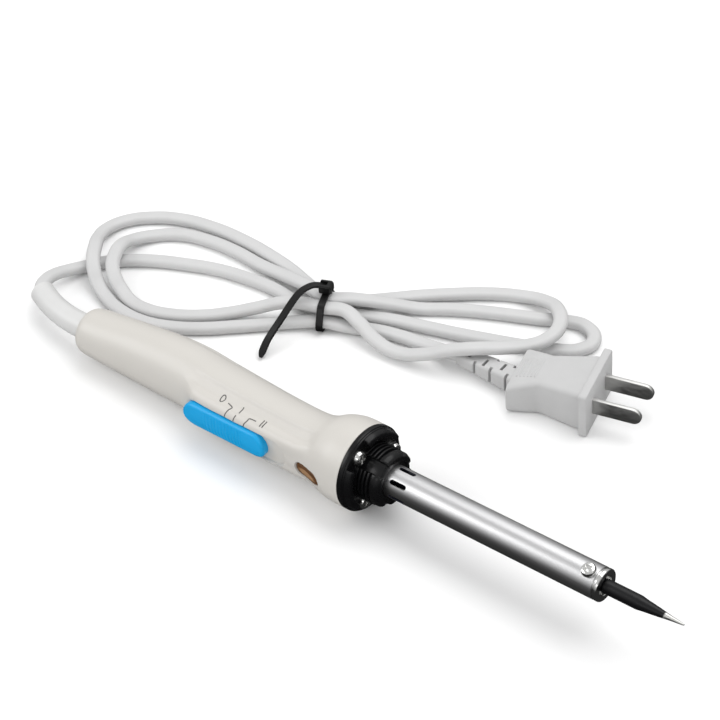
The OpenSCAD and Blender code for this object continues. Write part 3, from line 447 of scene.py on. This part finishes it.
def spread(bands):
    """Rising values from (start, stop, step) bands that follow on each other."""
    values = []
    for start, stop, step in bands:
        count = max(1, round((stop - start) / step))
        values += [start + (stop - start) * k / count for k in range(count)]
    return values + [bands[-1][1]]


handle_places = spread([(-handle_length, -126, 0.4), (-126, -79, 1.3), (-79, -71.5, 0.6), (-71.5, -64, 0.28),
                        (-64, -31.5, 0.7), (-31.5, -24, 0.28), (-24, -21.5, 0.5), (-21.5, -18.5, 0.25),
                        (-18.5, -12, 0.3), (-12, -8.5, 0.25), (-8.5, -0.6, 0.7)])
handle_angles = spread([(-180, -80, 3.5), (-80, -31, 2), (-31, 31, 0.8), (31, 80, 2), (80, 180, 3.5)])[:-1]
edge_steps = [(-0.35, 0), (-0.12, 0.08), (0, 0.35), (0, 3), (0, 12)]
outer_rings = [[(-handle_length, 0, 0)] * len(handle_angles)]
outer_rings += [[handle_point(x, a) for a in handle_angles] for x in handle_places]
outer_rings += [[handle_point(x, a, inset, False) for a in handle_angles] for x, inset in edge_steps]
outer_rings += [[(0, 0, 0)] * len(handle_angles)]
inner_places = spread([(-handle_length + 2.4, -3, 2.5)])
inner_angles = spread([(-180, 180, 8)])[:-1]
inner_rings = [[(inner_places[0], 0, 0)] * len(inner_angles)]
inner_rings += [[handle_point(x, a, handle_wall, False) for a in inner_angles] for x in inner_places]
inner_rings += [[(inner_places[-1], 0, 0)] * len(inner_angles)]
handle_mesh = skinned("handle_outside", outer_rings, iron, close_ends=False)
hollow_mesh = skinned("handle_hollow", inner_rings, iron, close_ends=False)
hollow_mesh.flip_normals()


def gathered(name, parts):
    """One mesh that holds all the parts."""
    shape = bmesh.new()
    for part in parts:
        shape.from_mesh(part)
    mesh = bpy.data.meshes.new(name)
    shape.to_mesh(mesh)
    shape.free()
    return mesh


def round_corners(x0, x1, z0, z1, corner, steps):
    """Points of a rectangle with round corners."""
    return [(cx + corner * math.cos(t), cz + corner * math.sin(t))
            for cx, cz, start in ((x1 - corner, z1 - corner, 0), (x0 + corner, z1 - corner, 90),
                                  (x0 + corner, z0 + corner, 180), (x1 - corner, z0 + corner, 270))
            for k in range(steps + 1) for t in [math.radians(start + 90 * k / steps)]]


def cover_block(gap):
    """A tall block with round corners over the place of the back cover, larger by a gap all round."""
    outline = round_corners(cover_ends[0] - gap, cover_ends[1] + gap, -cover_side, cover_side, cover_corner, 8)
    return skinned("cover_block", [[(x, y, z) for x, z in outline] for y in (cover_plane - gap, 30)], iron)


def cut_with(mesh, tool_mesh, operation, name):
    """The mesh that is left after an exact Boolean with a tool."""
    body, tool = placed("body", mesh), placed("tool", tool_mesh)
    boolean = body.modifiers.new("cut", "BOOLEAN")
    boolean.operation, boolean.object, boolean.solver = operation, tool, "EXACT"
    made = plain_mesh(body, name)
    bpy.data.objects.remove(tool)
    return made


handle_plastic = surface("handle_plastic", (0.585, 0.565, 0.53), (0.565, 0.545, 0.51), 30, (0.36, 0.44), 0.01,
                         Coat_Weight=0.12, Coat_Roughness=0.2)
handle_mesh = gathered("handle_mesh", (handle_mesh, hollow_mesh))
handle_half = add_piece("handle", cut_with(handle_mesh, cover_block(0.09), "DIFFERENCE", "handle"),
                        handle_plastic, 42)
cover_half = add_piece("handle_back_cover", cut_with(handle_mesh, cover_block(0), "INTERSECT", "handle_back_cover"),
                       handle_plastic, 42)
for half, node in ((handle_half, "handle_shell"), (cover_half, "back_cover")):
    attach(half, "iron")
    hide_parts(node)

# ---- Markings --------------------------------------------------------------
# Grey pad print beside the slider, laid on the handle's skin: a mark for each of the three
# positions, and at the marks' ends the figures 0, I and II.
ink_grey = surface("ink_grey", (0.06, 0.058, 0.055), (0.1, 0.097, 0.094), 0.6, (0.4, 0.55))
ink_width, ink_depth = 0.4, 0.03
tick_lines = [
    [(-51.5, 25.5), (-51.3, 32), (-50.7, 40), (-50.1, 46), (-52.6, 49)],
    [(-47.6, 25.5), (-47.4, 32), (-47.0, 38.6)],
    [(-43.0, 25.5), (-42.8, 32), (-42.0, 39), (-41.6, 43.6), (-39.0, 44.5)]]
figure_height, figure_width = 2.6, 1.7


def figure(strokes, x, angle):
    """Strokes of a figure, in heights and widths of it, laid on the skin at x and angle."""
    degrees_per_mm = 4.9
    return [[(x + u * figure_width, angle + v * figure_height * degrees_per_mm) for u, v in stroke]
            for stroke in strokes]


zero = [[(0.5 * math.cos(math.radians(t)), 0.5 * math.sin(math.radians(t))) for t in range(0, 361, 30)]]
one = [[(0, -0.5), (0, 0.5)]]
two = [[(-0.3, -0.5), (-0.3, 0.5)], [(0.3, -0.5), (0.3, 0.5)]]
prints = tick_lines + figure(zero, -55.4, 52) + figure(one, -46.4, 49.5) + figure(two, -36.2, 46)


def ink_line(stroke):
    """Rings of a thin printed line over the skin, through (x, angle) points."""
    path = smooth_line([(x, a, 0) for x, a in stroke], 5 if len(stroke) > 2 else 8)
    spots = [handle_point(p.x, p.y) for p in path]
    rings = []
    for i, spot in enumerate(spots):
        x, a = path[i].x, path[i].y
        normal = (handle_point(x + 0.2, a) - handle_point(x - 0.2, a)).cross(
            handle_point(x, a + 1) - handle_point(x, a - 1)).normalized()
        if normal.dot(Vector((0, spot.y, spot.z))) < 0:
            normal = -normal
        side = normal.cross(heading(spots, i)).normalized() * ink_width / 2
        rise = normal * ink_depth
        rings.append([spot - side - rise, spot + side - rise, spot + side + rise, spot - side + rise])
    return rings


markings = add_piece("markings", gathered("markings", [skinned("stroke", ink_line(s), iron) for s in prints]),
                     ink_grey)
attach(markings, "iron")

# ---- Power slider ----------------------------------------------------------
# A glossy blue cap with rounded edges and fine cross ribs under the finger. It moves 8 mm forwards
# in its track, from 0 over I to II.
cap_top, cap_edge, cap_bottom = pad_r + 1.5, 1.1, track_floor + 0.05
rib_count, rib_pitch, rib_depth, rib_zone = 12, 1.5, 0.16, 9.5


def bar_cap(middle, length, width, top_at, foot, edge_places, shift=0.0):
    """Rings of a bar with round ends, from foot to top_at(x, z, inset), its middle at z = shift."""
    half, r = length / 2, width / 2
    across = [math.sin(math.radians(t)) for t in spread([(-90, 90, 6)])]
    rings = []
    for u in edge_places:
        mid = min(max(u, -half + r), half - r)
        reach_z = math.sqrt(max(r * r - (u - mid) ** 2, 0))
        ring = []
        for share in across:
            z = share * reach_z
            inset = max(r - math.hypot(u - mid, z), 0)
            ring.append((middle + u, -top_at(middle + u, z + shift, inset), z + shift))
        lower = [(x, -foot, z) for x, _, z in reversed(ring)]
        rings.append(ring + lower)
    return rings


def bar_places(length, width, turn_step, middle_bands):
    """Places along a bar with round ends: close together round the ends, and in bands between."""
    half, r = length / 2, width / 2
    back = [-half + r * (1 - math.cos(math.radians(t))) for t in range(0, 90, turn_step)]
    front = [half - r * (1 - math.sin(math.radians(t))) for t in range(turn_step, 91, turn_step)]
    return back + spread(middle_bands) + front


def slider_top(x, z, inset):
    """The cap's height over the axis: crowned, with a rounded edge and cross ribs."""
    crown = math.sqrt(cap_top ** 2 - z * z)
    drop = cap_edge * (1 - math.sqrt(max(1 - (1 - min(inset / cap_edge, 1)) ** 2, 0)))
    from_middle = x - slider_x
    along = ease((rib_count * rib_pitch / 2 - abs(from_middle)) / 0.4)
    across = ease((slider_width / 2 - 1 - abs(z)) / 0.6)
    wave = 0.5 + 0.5 * math.cos(2 * math.pi * from_middle / rib_pitch)
    return crown - drop - rib_depth * (along * across) * wave ** 3


straight = slider_length / 2 - slider_width / 2
cap_places = bar_places(slider_length, slider_width, 6, [
    (-straight, -rib_zone, 0.8), (-rib_zone, rib_zone, 0.125), (rib_zone, straight, 0.8)])
slider_mesh = skinned("slider_cap", bar_cap(slider_x, slider_length, slider_width, slider_top,
                                            cap_bottom, cap_places), iron)
slider_blue = surface("slider_blue", (0.0, 0.36, 0.74), (0.0, 0.32, 0.66), 8, (0.3, 0.38), 0.02,
                      Coat_Weight=0.12, Coat_Roughness=0.15, Specular_IOR_Level=0.3)
slider_cap = add_piece("slider_cap", slider_mesh, slider_blue, 50)
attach(slider_cap, "slider")
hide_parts("slider_button")

# ---- Lamp window -----------------------------------------------------------
# A small amber window with round ends, let into the handle in front of the slider. The glow lamp's
# glass shows through its middle as a paler bar.
glow_half_length, glow_half_width = 0.0042, 0.0015


def lens_top(x, z, inset):
    """The window's height over the axis: the handle's own skin, a little lower at the edge."""
    front, back, half = reach(x, 1), reach(x, 2), reach(x, 3)
    skin = (front + back) / 2 * math.sqrt(1 - (z / half) ** 2) - (back - front) / 2
    return skin - 0.1 - 0.4 * (1 - ease(inset / 0.9))


def overlaid(finish, share, colour):
    """Lays a second colour over a finish, as far as the share node says, from 0 to 1."""
    tree = finish.node_tree
    base = tree.nodes["Principled BSDF"].inputs["Base Color"]
    over = tree.nodes.new("ShaderNodeMix")
    over.data_type = "RGBA"
    over.inputs["B"].default_value = (*colour, 1)
    tree.links.new(base.links[0].from_socket, over.inputs["A"])
    tree.links.new(share.outputs["Result"], over.inputs["Factor"])
    tree.links.new(over.outputs["Result"], base)


lens_places = bar_places(lens_length, lens_width, 9, [
    (-lens_length / 2 + lens_width / 2, lens_length / 2 - lens_width / 2, 0.5)])
lens_mesh = skinned("lamp_window", bar_cap(lens_x, lens_length, lens_width, lens_top, reach(lens_x, 1) - 2.4,
                                           lens_places, lens_z), iron)
lens_amber = surface("lens_amber", (0.09, 0.04, 0.016), (0.13, 0.06, 0.025), 2.5, (0.1, 0.18), 0.0,
                     Coat_Weight=0.4, Coat_Roughness=0.05)
lens_tree = lens_amber.node_tree
lens_spot = iron @ Vector((lens_x, 0, lens_z))
lens_apart = lens_tree.nodes.new("ShaderNodeMapping")
lens_apart.inputs["Location"].default_value = (-lens_spot.x / glow_half_length, 0,
                                               -lens_spot.z / glow_half_width)
lens_apart.inputs["Scale"].default_value = (1 / glow_half_length, 0, 1 / glow_half_width)
lens_far = lens_tree.nodes.new("ShaderNodeVectorMath")
lens_far.operation = "LENGTH"
lens_soft = graded(lens_tree, 0.7, 1.15, 1, 0)
wire(lens_tree, (lens_tree.nodes["Texture Coordinate"], "Object", lens_apart, "Vector"),
     (lens_apart, "Vector", lens_far, 0), (lens_far, "Value", lens_soft, "Value"))
overlaid(lens_amber, lens_soft, (0.36, 0.21, 0.11))
lamp_window = add_piece("lamp_window", lens_mesh, lens_amber, 50)
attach(lamp_window, "iron")
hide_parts("indicator_lens")

# ---- Front nose ------------------------------------------------------------
# A black heat-proof moulding screwed to the collar: a flange with a broken rim, three finned
# sectors that shed heat, and between them the lanes that a screwdriver passes along.
nose_black = surface("nose_black", (0.003, 0.003, 0.0035), (0.006, 0.006, 0.0065), 3, (0.24, 0.34), 0.02,
                     Coat_Weight=0.06, Coat_Roughness=0.1, Specular_IOR_Level=0.2)


def polished(node, name, finish, edge):
    """A copy of a CAD node with its doubles merged and its edges rounded."""
    sharp = 35
    mesh = frame["nodes"][node].data.copy()
    shape = bmesh.new()
    shape.from_mesh(mesh)
    bmesh.ops.remove_doubles(shape, verts=shape.verts, dist=2e-6)
    bmesh.ops.dissolve_limit(shape, angle_limit=math.radians(1.0), verts=shape.verts, edges=shape.edges)
    shape.to_mesh(mesh)
    shape.free()
    made = add_piece(name, mesh, finish, sharp)
    bevel = made.modifiers.new("edges", "BEVEL")
    bevel.width, bevel.segments, bevel.angle_limit = edge / 1000, 2, math.radians(sharp)
    bevel.limit_method, bevel.harden_normals = "ANGLE", False
    return add_piece(name, plain_mesh(made, name), finish, sharp)


nose = polished("front_nose", "nose", nose_black, 0.18)
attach(nose, "iron")
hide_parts("front_nose")

# ---- Screws ----------------------------------------------------------------
# Nickelled pan-head screws with a cross recess. Three hold the nose's flange to the handle, and one
# near the barrel's mouth clamps the tip.
screw_nickel = surface("screw_nickel", (0.78, 0.78, 0.77), (0.62, 0.62, 0.61), 1.2, (0.12, 0.3), 0.04,
                       Metallic=1.0)
flange_screw_set = polished("flange_screws", "flange_screw_set", screw_nickel, 0.12)
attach(flange_screw_set, "iron")
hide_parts("flange_screws")
clamp_screw_look = polished("tip_clamp_screw", "clamp_screw", screw_nickel, 0.12)
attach(clamp_screw_look, "clamp_screw")
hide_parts("tip_clamp_screw")

# ---- Heater barrel ---------------------------------------------------------
# A thin stainless tube, brushed along its length. Six vent slots are cut through it beside the nose,
# and its inside is dark.
barrel_r, barrel_wall, barrel_ends = 5.7, 0.4, (-1.4, 94.9)
vent_count, vent_middle, vent_length, vent_width, vent_sides = 6, 17.2, 6.6, 1.7, 24
barrel_steel = surface("barrel_steel", (0.60, 0.60, 0.605), (0.57, 0.57, 0.575), 0.4, (0.34, 0.38), 0.004,
                       stretch=(0.02, 1, 1), Metallic=1.0)


def turned(name, profile, sides=96, closed=True):
    """A mesh turned on the iron's axis from (x, radius) points."""
    rings = [[(x, -r * math.cos(2 * math.pi * k / sides), r * math.sin(2 * math.pi * k / sides))
              for k in range(sides)] for x, r in profile]
    return skinned(name, rings, iron, close_ends=False, joined=closed)


barrel_places = spread([(barrel_ends[0], 12, 2), (12, 22.5, 0.75), (22.5, barrel_ends[1], 4)])
barrel_profile = [(x, barrel_r) for x in barrel_places]
barrel_profile += [(x, barrel_r - barrel_wall) for x in reversed(barrel_places)]
barrel_mesh = turned("barrel", barrel_profile)
for i in range(vent_count):
    turn = Matrix.Rotation(math.radians(-45 - i * 360 / vent_count), 4, "X")
    bar = []
    for k in range(vent_sides):
        t = 2 * math.pi * (k + 0.5) / vent_sides
        bar.append((vent_middle + math.copysign(vent_length / 2 - vent_width / 2, math.cos(t))
                    + vent_width / 2 * math.cos(t), vent_width / 2 * math.sin(t)))
    slot_mesh = skinned("slot", [[turn @ Vector((x, y, z)) for x, z in bar] for y in (-4, -8)], iron)
    barrel_mesh = cut_with(barrel_mesh, slot_mesh, "DIFFERENCE", "barrel")
barrel = add_piece("barrel", barrel_mesh, barrel_steel, 45)
barrel_dark = surface("barrel_inside", (0.006, 0.007, 0.016), (0.01, 0.011, 0.03), 2, (0.3, 0.5))
barrel_mesh.materials.append(barrel_dark)
to_iron = iron.inverted()
for face in barrel_mesh.polygons:
    spot = to_iron @ face.center
    if math.hypot(spot.y, spot.z) < barrel_r - 0.05 and spot.x < 90:
        face.material_index = 1
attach(barrel, "iron")
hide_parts("heater_barrel")

# ---- End bush --------------------------------------------------------------
# A bright turned steel ring in the barrel's mouth, with a groove behind its rim. The tip slides in
# its bore.
bush_steel = surface("bush_steel", (0.74, 0.74, 0.735), (0.62, 0.62, 0.61), 0.5, (0.12, 0.22), 0.02,
                     stretch=(1, 0.1, 0.1), Metallic=1.0)
bush_front, shank_r, mouth_r = 97, 2.2, 3.4
bush_profile = [
    (84, shank_r + 0.05), (84, 5.2), (84.2, 5.28), (95.5, 5.28), (95.6, 5.5), (95.75, 5.68), (96.0, 5.7),
    (96.6, 5.7), (96.85, 5.6), (bush_front, 5.35), (bush_front, mouth_r + 0.15), (96.85, mouth_r),
    (94.0, mouth_r), (94.0, shank_r + 0.05)]
bush = add_piece("bush", turned("bush", bush_profile), bush_steel, 30)
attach(bush, "iron")
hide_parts("end_bush")

# ---- Soldering tip ---------------------------------------------------------
# A plated copper bit: a black shank with a shoulder at the bush, a long cone, and a tinned end. It
# pulls straight out of the bush.
tip_r, tip_end, cone_length = 2.45, 126.4, 16.6
cone_back = tip_end - cone_length
tip_profile = [
    (45, 0), (45, 1.85), (45.35, shank_r), (bush_front + 0.05, shank_r), (bush_front + 0.05, tip_r - 0.15),
    (bush_front + 0.2, tip_r), (cone_back - 0.6, tip_r), (cone_back, tip_r * 0.985)]
tip_profile += [(cone_back + cone_length * t, tip_r * share) for t, share in (
    (0.05, 0.93), (0.1, 0.87), (0.2, 0.785), (0.31, 0.705), (0.45, 0.585), (0.58, 0.455), (0.72, 0.33),
    (0.84, 0.25), (0.94, 0.175), (0.985, 0.115), (1, 0))]
tip_black = surface("tip_black", (0.003, 0.003, 0.0035), (0.007, 0.007, 0.008), 1.5, (0.3, 0.4), 0.02,
                    Specular_IOR_Level=0.25)
tip_tree = tip_black.node_tree
tin_line = 119.2
tin_from = iron @ Vector((tin_line, 0, 0))
tip_split = tip_tree.nodes.new("ShaderNodeSeparateXYZ")
tip_edge = graded(tip_tree, tin_from.x - 0.0002, tin_from.x + 0.0004)
wire(tip_tree, (tip_tree.nodes["Texture Coordinate"], "Object", tip_split, "Vector"),
     (tip_split, "X", tip_edge, "Value"), (tip_edge, "Result", tip_tree.nodes["Principled BSDF"], "Metallic"))
overlaid(tip_black, tip_edge, (0.62, 0.62, 0.60))
tip_piece = add_piece("tip_bit", turned("tip_bit", tip_profile, closed=False), tip_black, 35)
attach(tip_piece, "tip")
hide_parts("soldering_tip")

# ---- Inside the iron -------------------------------------------------------
# The switch, the board and its parts, the lamp, the wiring and the heater. Their shapes are the CAD
# ones, and each gets the finish of its own stuff.
inside_finishes = {
    "switch_lever": surface("lever_black", (0.02, 0.02, 0.02), (0.035, 0.035, 0.035), 2, (0.4, 0.55), 0.1),
    "slide_switch": surface("switch_case", (0.55, 0.56, 0.57), (0.42, 0.43, 0.44), 2, (0.3, 0.45), 0.1,
                            Metallic=1.0),
    "control_board": surface("board_green", (0.01, 0.11, 0.04), (0.02, 0.16, 0.06), 1.5, (0.3, 0.5), 0.2),
    "power_diode": surface("diode_black", (0.015, 0.015, 0.015), (0.03, 0.03, 0.03), 1, (0.35, 0.5), 0.1),
    "lamp_resistor": surface("resistor_tan", (0.42, 0.27, 0.12), (0.32, 0.2, 0.09), 1.5, (0.4, 0.55), 0.1),
    "board_screws": screw_nickel,
    "clamp_bar_screws": screw_nickel,
    "neon_lamp": surface("lamp_glass", (0.8, 0.42, 0.2), (0.7, 0.34, 0.15), 2, (0.05, 0.1), 0.0,
                         Coat_Weight=1.0),
    "supply_wires": surface("wire_sleeve", (0.08, 0.06, 0.35), (0.06, 0.045, 0.28), 2, (0.4, 0.5), 0.05),
    "cord_clamp": surface("clamp_plastic", (0.66, 0.66, 0.63), (0.58, 0.58, 0.56), 3, (0.4, 0.5), 0.05),
    "heater_tube": surface("tube_steel", (0.5, 0.5, 0.5), (0.36, 0.34, 0.32), 2, (0.3, 0.5), 0.1, Metallic=1.0),
    "heater_winding": surface("winding_mica", (0.24, 0.2, 0.16), (0.34, 0.29, 0.22), 1, (0.4, 0.6), 0.3),
    "mica_sleeve": surface("mica_sheet", (0.42, 0.33, 0.18), (0.3, 0.23, 0.12), 2, (0.15, 0.35), 0.1),
    "ceramic_bush": surface("white_ceramic", (0.8, 0.77, 0.7), (0.7, 0.67, 0.6), 2, (0.45, 0.6), 0.1),
    "heater_leads": surface("glass_sleeving", (0.72, 0.71, 0.6), (0.6, 0.59, 0.5), 0.6, (0.6, 0.75), 0.4)}
for node, finish in inside_finishes.items():
    inner_mesh = frame["nodes"][node].data
    inner_mesh.materials.clear()
    inner_mesh.materials.append(finish)

# ---- Plug ------------------------------------------------------------------
# A two-blade plug moulded on the cord in pale grey vinyl: a front plate, a waisted body with grip
# ribs on top, and a slotted tail that lets the cord bend.
plug_at, plug_turn = (41, 78.9, 0), 15
plate_t, plate_w, plate_h, waist_w, block_w, plug_length = 3, 26.7, 18.7, 16.6, 22.6, 30.5
ladder_length, ladder_turn, ladder_z = 25, -13, 4.8
plugged = mm @ Matrix.Translation(plug_at) @ Matrix.Rotation(math.radians(plug_turn), 4, "Z")


def lofted(name, sections, place):
    """A mesh through upright sections (x, half width, bottom, top, corner radius)."""
    rings = []
    for x, half, low, high, corner in sections:
        corner = min(corner, half, (high - low) / 2)
        rings.append([(x, y, z) for y, z in round_corners(-half, half, low, high, corner, 5)])
    return skinned(name, rings, place)


plate_edge = [(0, 0.5, 0.8), (0.15, 0.15, 1.1), (0.5, 0, 1.2)]  # depth from a face, inset, corner
plate_places = [(depth - plate_t, inset, corner) for depth, inset, corner in plate_edge]
plate_places += [(-depth, inset, corner) for depth, inset, corner in reversed(plate_edge)]
plate_sections = [(x, plate_w / 2 - inset, inset, plate_h - inset, corner) for x, inset, corner in plate_places]
body_low, front_half, front_top, waist_run, waist_drop = 0.02, plate_w / 2 - 2, plate_h - 1.6, 16.5, 2.4
body_sections = [(-2.5 - waist_run * share, front_half * (1 - share) + waist_w / 2 * share, body_low,
                  front_top - waist_drop * share, 2.0) for share in [k / 8 for k in range(9)]]
body_sections += [
    (-20, waist_w / 2 - 0.02, body_low, plate_h - 4.2, 2.0),
    (-21, waist_w / 2 + 0.35, body_low, plate_h - 4.4, 2.0),
    (-26, waist_w / 2 + 1.9, body_low, plate_h - 5.7, 2.2),
    (-29.4, block_w / 2 - 0.15, body_low, plate_h - 6.7, 2.2),
    (-30.2, block_w / 2 - 0.25, 0.2, plate_h - 7.1, 2.2),
    (-plug_length, block_w / 2 - 0.8, 0.7, plate_h - 7.7, 2.0)]
ladder_place = (plugged @ Matrix.Translation((1 - plug_length, 0, 0))
                @ Matrix.Rotation(math.radians(ladder_turn), 4, "Z"))
ladder_sections = [(3, 4.2, ladder_z - 4.2, ladder_z + 4.2, 1.5)]
ladder_sections += [(-ladder_length * k / 10, 4.0 - k / 10, ladder_z - 3.9 + 1.4 * k / 10,
                     ladder_z + 3.9 - 1.4 * k / 10, 1.3) for k in range(11)]
ladder_mesh = lofted("ladder", ladder_sections, ladder_place)
slot_step, slot_count, slot_length, slot_height = 3.4, 6, 1.1, 12
slots = []
for i in range(slot_count):
    x = -3.4 - i * slot_step
    # one slot near the middle, then two at the sides, each as (width, place across)
    for across, shift in ([(3.6, 0.9 - 0.6 * (i % 4))] if i % 2 else [(2.2, 2.9), (2.2, -2.9)]):
        slot_ends = [(x + end, across / 2, ladder_z - slot_height / 2, ladder_z + slot_height / 2, 0.3)
                     for end in (-slot_length / 2, slot_length / 2)]
        slots.append(lofted("slot", slot_ends, ladder_place @ Matrix.Translation((0, shift, 0))))
ladder_mesh = cut_with(ladder_mesh, gathered("slots", slots), "DIFFERENCE", "ladder")
plug_mesh = gathered("plug", (lofted("plate", plate_sections, plugged),
                              lofted("plug_body", body_sections, plugged), ladder_mesh))
plug_vinyl = surface("plug_vinyl", (0.53, 0.53, 0.53), (0.49, 0.49, 0.49), 4, (0.45, 0.55), 0.05,
                     Specular_IOR_Level=0.35)
plug = add_piece("plug", plug_mesh, plug_vinyl, 32)
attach(plug, "iron")
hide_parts("plug_body")

# ---- Plug ribs -------------------------------------------------------------
# Six low ribs across the top of the plug for the fingers. They are moulded in one with it, in the
# same vinyl.
rib_seed = placed("rib_seed", bpy.data.meshes.new("rib_seed"))
rib_tree, rib_in, rib_out = node_group("grip_ribs", [
    ("Count", "NodeSocketInt", 6), ("Pitch", "NodeSocketFloat", 0.001), ("Length", "NodeSocketFloat", 0.01),
    ("Radius", "NodeSocketFloat", 0.0004), ("Fall", "NodeSocketFloat", 0.0003),
    ("Finish", "NodeSocketMaterial", None)])
rib_row = rib_tree.nodes.new("GeometryNodeMeshLine")
rib_step = rib_tree.nodes.new("ShaderNodeCombineXYZ")
rib_bar = rib_tree.nodes.new("GeometryNodeMeshCylinder")
rib_bar.inputs["Vertices"].default_value = 12
rib_many = rib_tree.nodes.new("GeometryNodeInstanceOnPoints")
rib_many.inputs["Rotation"].default_value = (math.pi / 2, 0, 0)
rib_solid = rib_tree.nodes.new("GeometryNodeRealizeInstances")
rib_dress = rib_tree.nodes.new("GeometryNodeSetMaterial")
wire(rib_tree, (rib_in, "Count", rib_row, "Count"), (rib_in, "Pitch", rib_step, "X"),
     (rib_in, "Fall", rib_step, "Z"), (rib_step, "Vector", rib_row, "Offset"),
     (rib_in, "Radius", rib_bar, "Radius"), (rib_in, "Length", rib_bar, "Depth"),
     (rib_row, "Mesh", rib_many, "Points"), (rib_bar, "Mesh", rib_many, "Instance"),
     (rib_many, "Instances", rib_solid, "Geometry"), (rib_solid, "Geometry", rib_dress, "Geometry"),
     (rib_in, "Finish", rib_dress, "Material"), (rib_dress, "Geometry", rib_out, "Geometry"))
grip_ribs = grow(rib_seed, rib_tree, {"Count": 6, "Pitch": 0.00135, "Length": 0.0095, "Radius": 0.00042,
                                      "Fall": 0.00036, "Finish": plug_vinyl}, "plug_ribs", plug_vinyl, 60)
grip_ribs.data.transform(plugged @ Matrix.Scale(1000, 4) @ Matrix.Translation((-0.0285, 0, 0.0121)))
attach(grip_ribs, "iron")

# ---- Plug blades -----------------------------------------------------------
# Two flat nickelled blades with round ends, held in the plug's moulding. Their finish is drawn out
# along them.
blade_nickel = surface("blade_nickel", (0.72, 0.72, 0.7), (0.5, 0.5, 0.49), 1.2, (0.38, 0.55), 0.1,
                       stretch=(0.25, 1, 1), Metallic=1.0)
blades = polished("plug_blades", "blades", blade_nickel, 0.2)
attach(blades, "iron")
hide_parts("plug_blades")

# ---- Cable tie -------------------------------------------------------------
# A small black nylon tie round the five runs of the hank: the strap, its head on top, and the
# toothed tail that stands off to the side.
tie_at, tie_turn, tie_width, tie_thickness = (-67.5, 62, 0), 24, 2.6, 1.0
tie_place = mm @ Matrix.Translation(tie_at) @ Matrix.Rotation(math.radians(tie_turn), 4, "Z")
run_half, run_r = cord_width / 2 - cord_edge, 1.95
run_middles = ((-5.6, 3.3), (5.6, 3.3), (-2.8, 7.6), (2.8, 7.6))
run_spots = [(y + s * run_half, z) for y, z in run_middles for s in (-1, 1)]
tie_rings = []
for k in range(72):
    t = 2 * math.pi * k / 72
    y, z = max(run_spots, key=lambda c: c[0] * math.cos(t) + c[1] * math.sin(t))
    tie_rings.append([(x, y + (run_r + out) * math.cos(t), z + (run_r + out) * math.sin(t)) for x, out in (
        (-tie_width / 2, 0.2), (-tie_width / 2 + 0.2, 0), (tie_width / 2 - 0.2, 0), (tie_width / 2, 0.2),
        (tie_width / 2, tie_thickness - 0.2), (tie_width / 2 - 0.2, tie_thickness),
        (-tie_width / 2 + 0.2, tie_thickness), (-tie_width / 2, tie_thickness - 0.2))])
head_place = tie_place @ Matrix.Translation((0, 2.9, 0))
tie_head = lofted("tie_head", [(-2.4, 1.9, 10.9, 13.9, 0.6), (-2.1, 2.3, 10.6, 14.3, 0.9),
                               (1.7, 2.3, 10.6, 14.3, 0.9), (2.4, 1.8, 10.9, 13.7, 0.6)], head_place)
tie_notch = lofted("tie_notch", [(-3.2, 1.0, 12.9, 16, 0.2), (0.6, 1.0, 12.9, 16, 0.2)], head_place)
tie_head = cut_with(tie_head, tie_notch, "DIFFERENCE", "tie_head")
tail_line = smooth_line([(-68.9, 64.4, 12.4), (-70.6, 63.2, 13.5), (-72.6, 60.2, 14.1), (-73.9, 54.8, 13.2),
                         (-73.7, 45, 9), (-73.9, 37, 4.4), (-72.6, 31.2, 1.2)], 14)

tail_rings, taper_from = [], 0.93
for i, spot in enumerate(tail_line):
    share, t = i / (len(tail_line) - 1), tie_thickness / 2
    half = tie_width / 2 * (1 if share < taper_from else 1 - 0.65 * (share - taper_from) / 0.07)
    tooth = 0.12 if i % 2 and 0.1 < share < 0.85 else 0
    tail_rings.append(ring_across(spot, heading(tail_line, i), [
        (-half, -t + tooth), (half, -t + tooth), (half, t - 0.15), (half - 0.2, t), (0.2 - half, t),
        (-half, t - 0.15)]))
tie_mesh = gathered("tie", (skinned("strap", tie_rings, tie_place, joined=True), tie_head,
                            skinned("tie_tail", tail_rings, mm)))
tie_nylon = surface("tie_nylon", (0.005, 0.005, 0.005), (0.009, 0.009, 0.009), 2, (0.28, 0.4), 0.03,
                    Specular_IOR_Level=0.25)
tie = add_piece("tie", tie_mesh, tie_nylon, 35)
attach(tie, "iron")
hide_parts("cable_tie")

# ---- Cord length -----------------------------------------------------------
cord_metres = sum((Vector(b) - Vector(a)).length for a, b in zip(centre_line, centre_line[1:]))
print("cord length", round(cord_metres, 4))
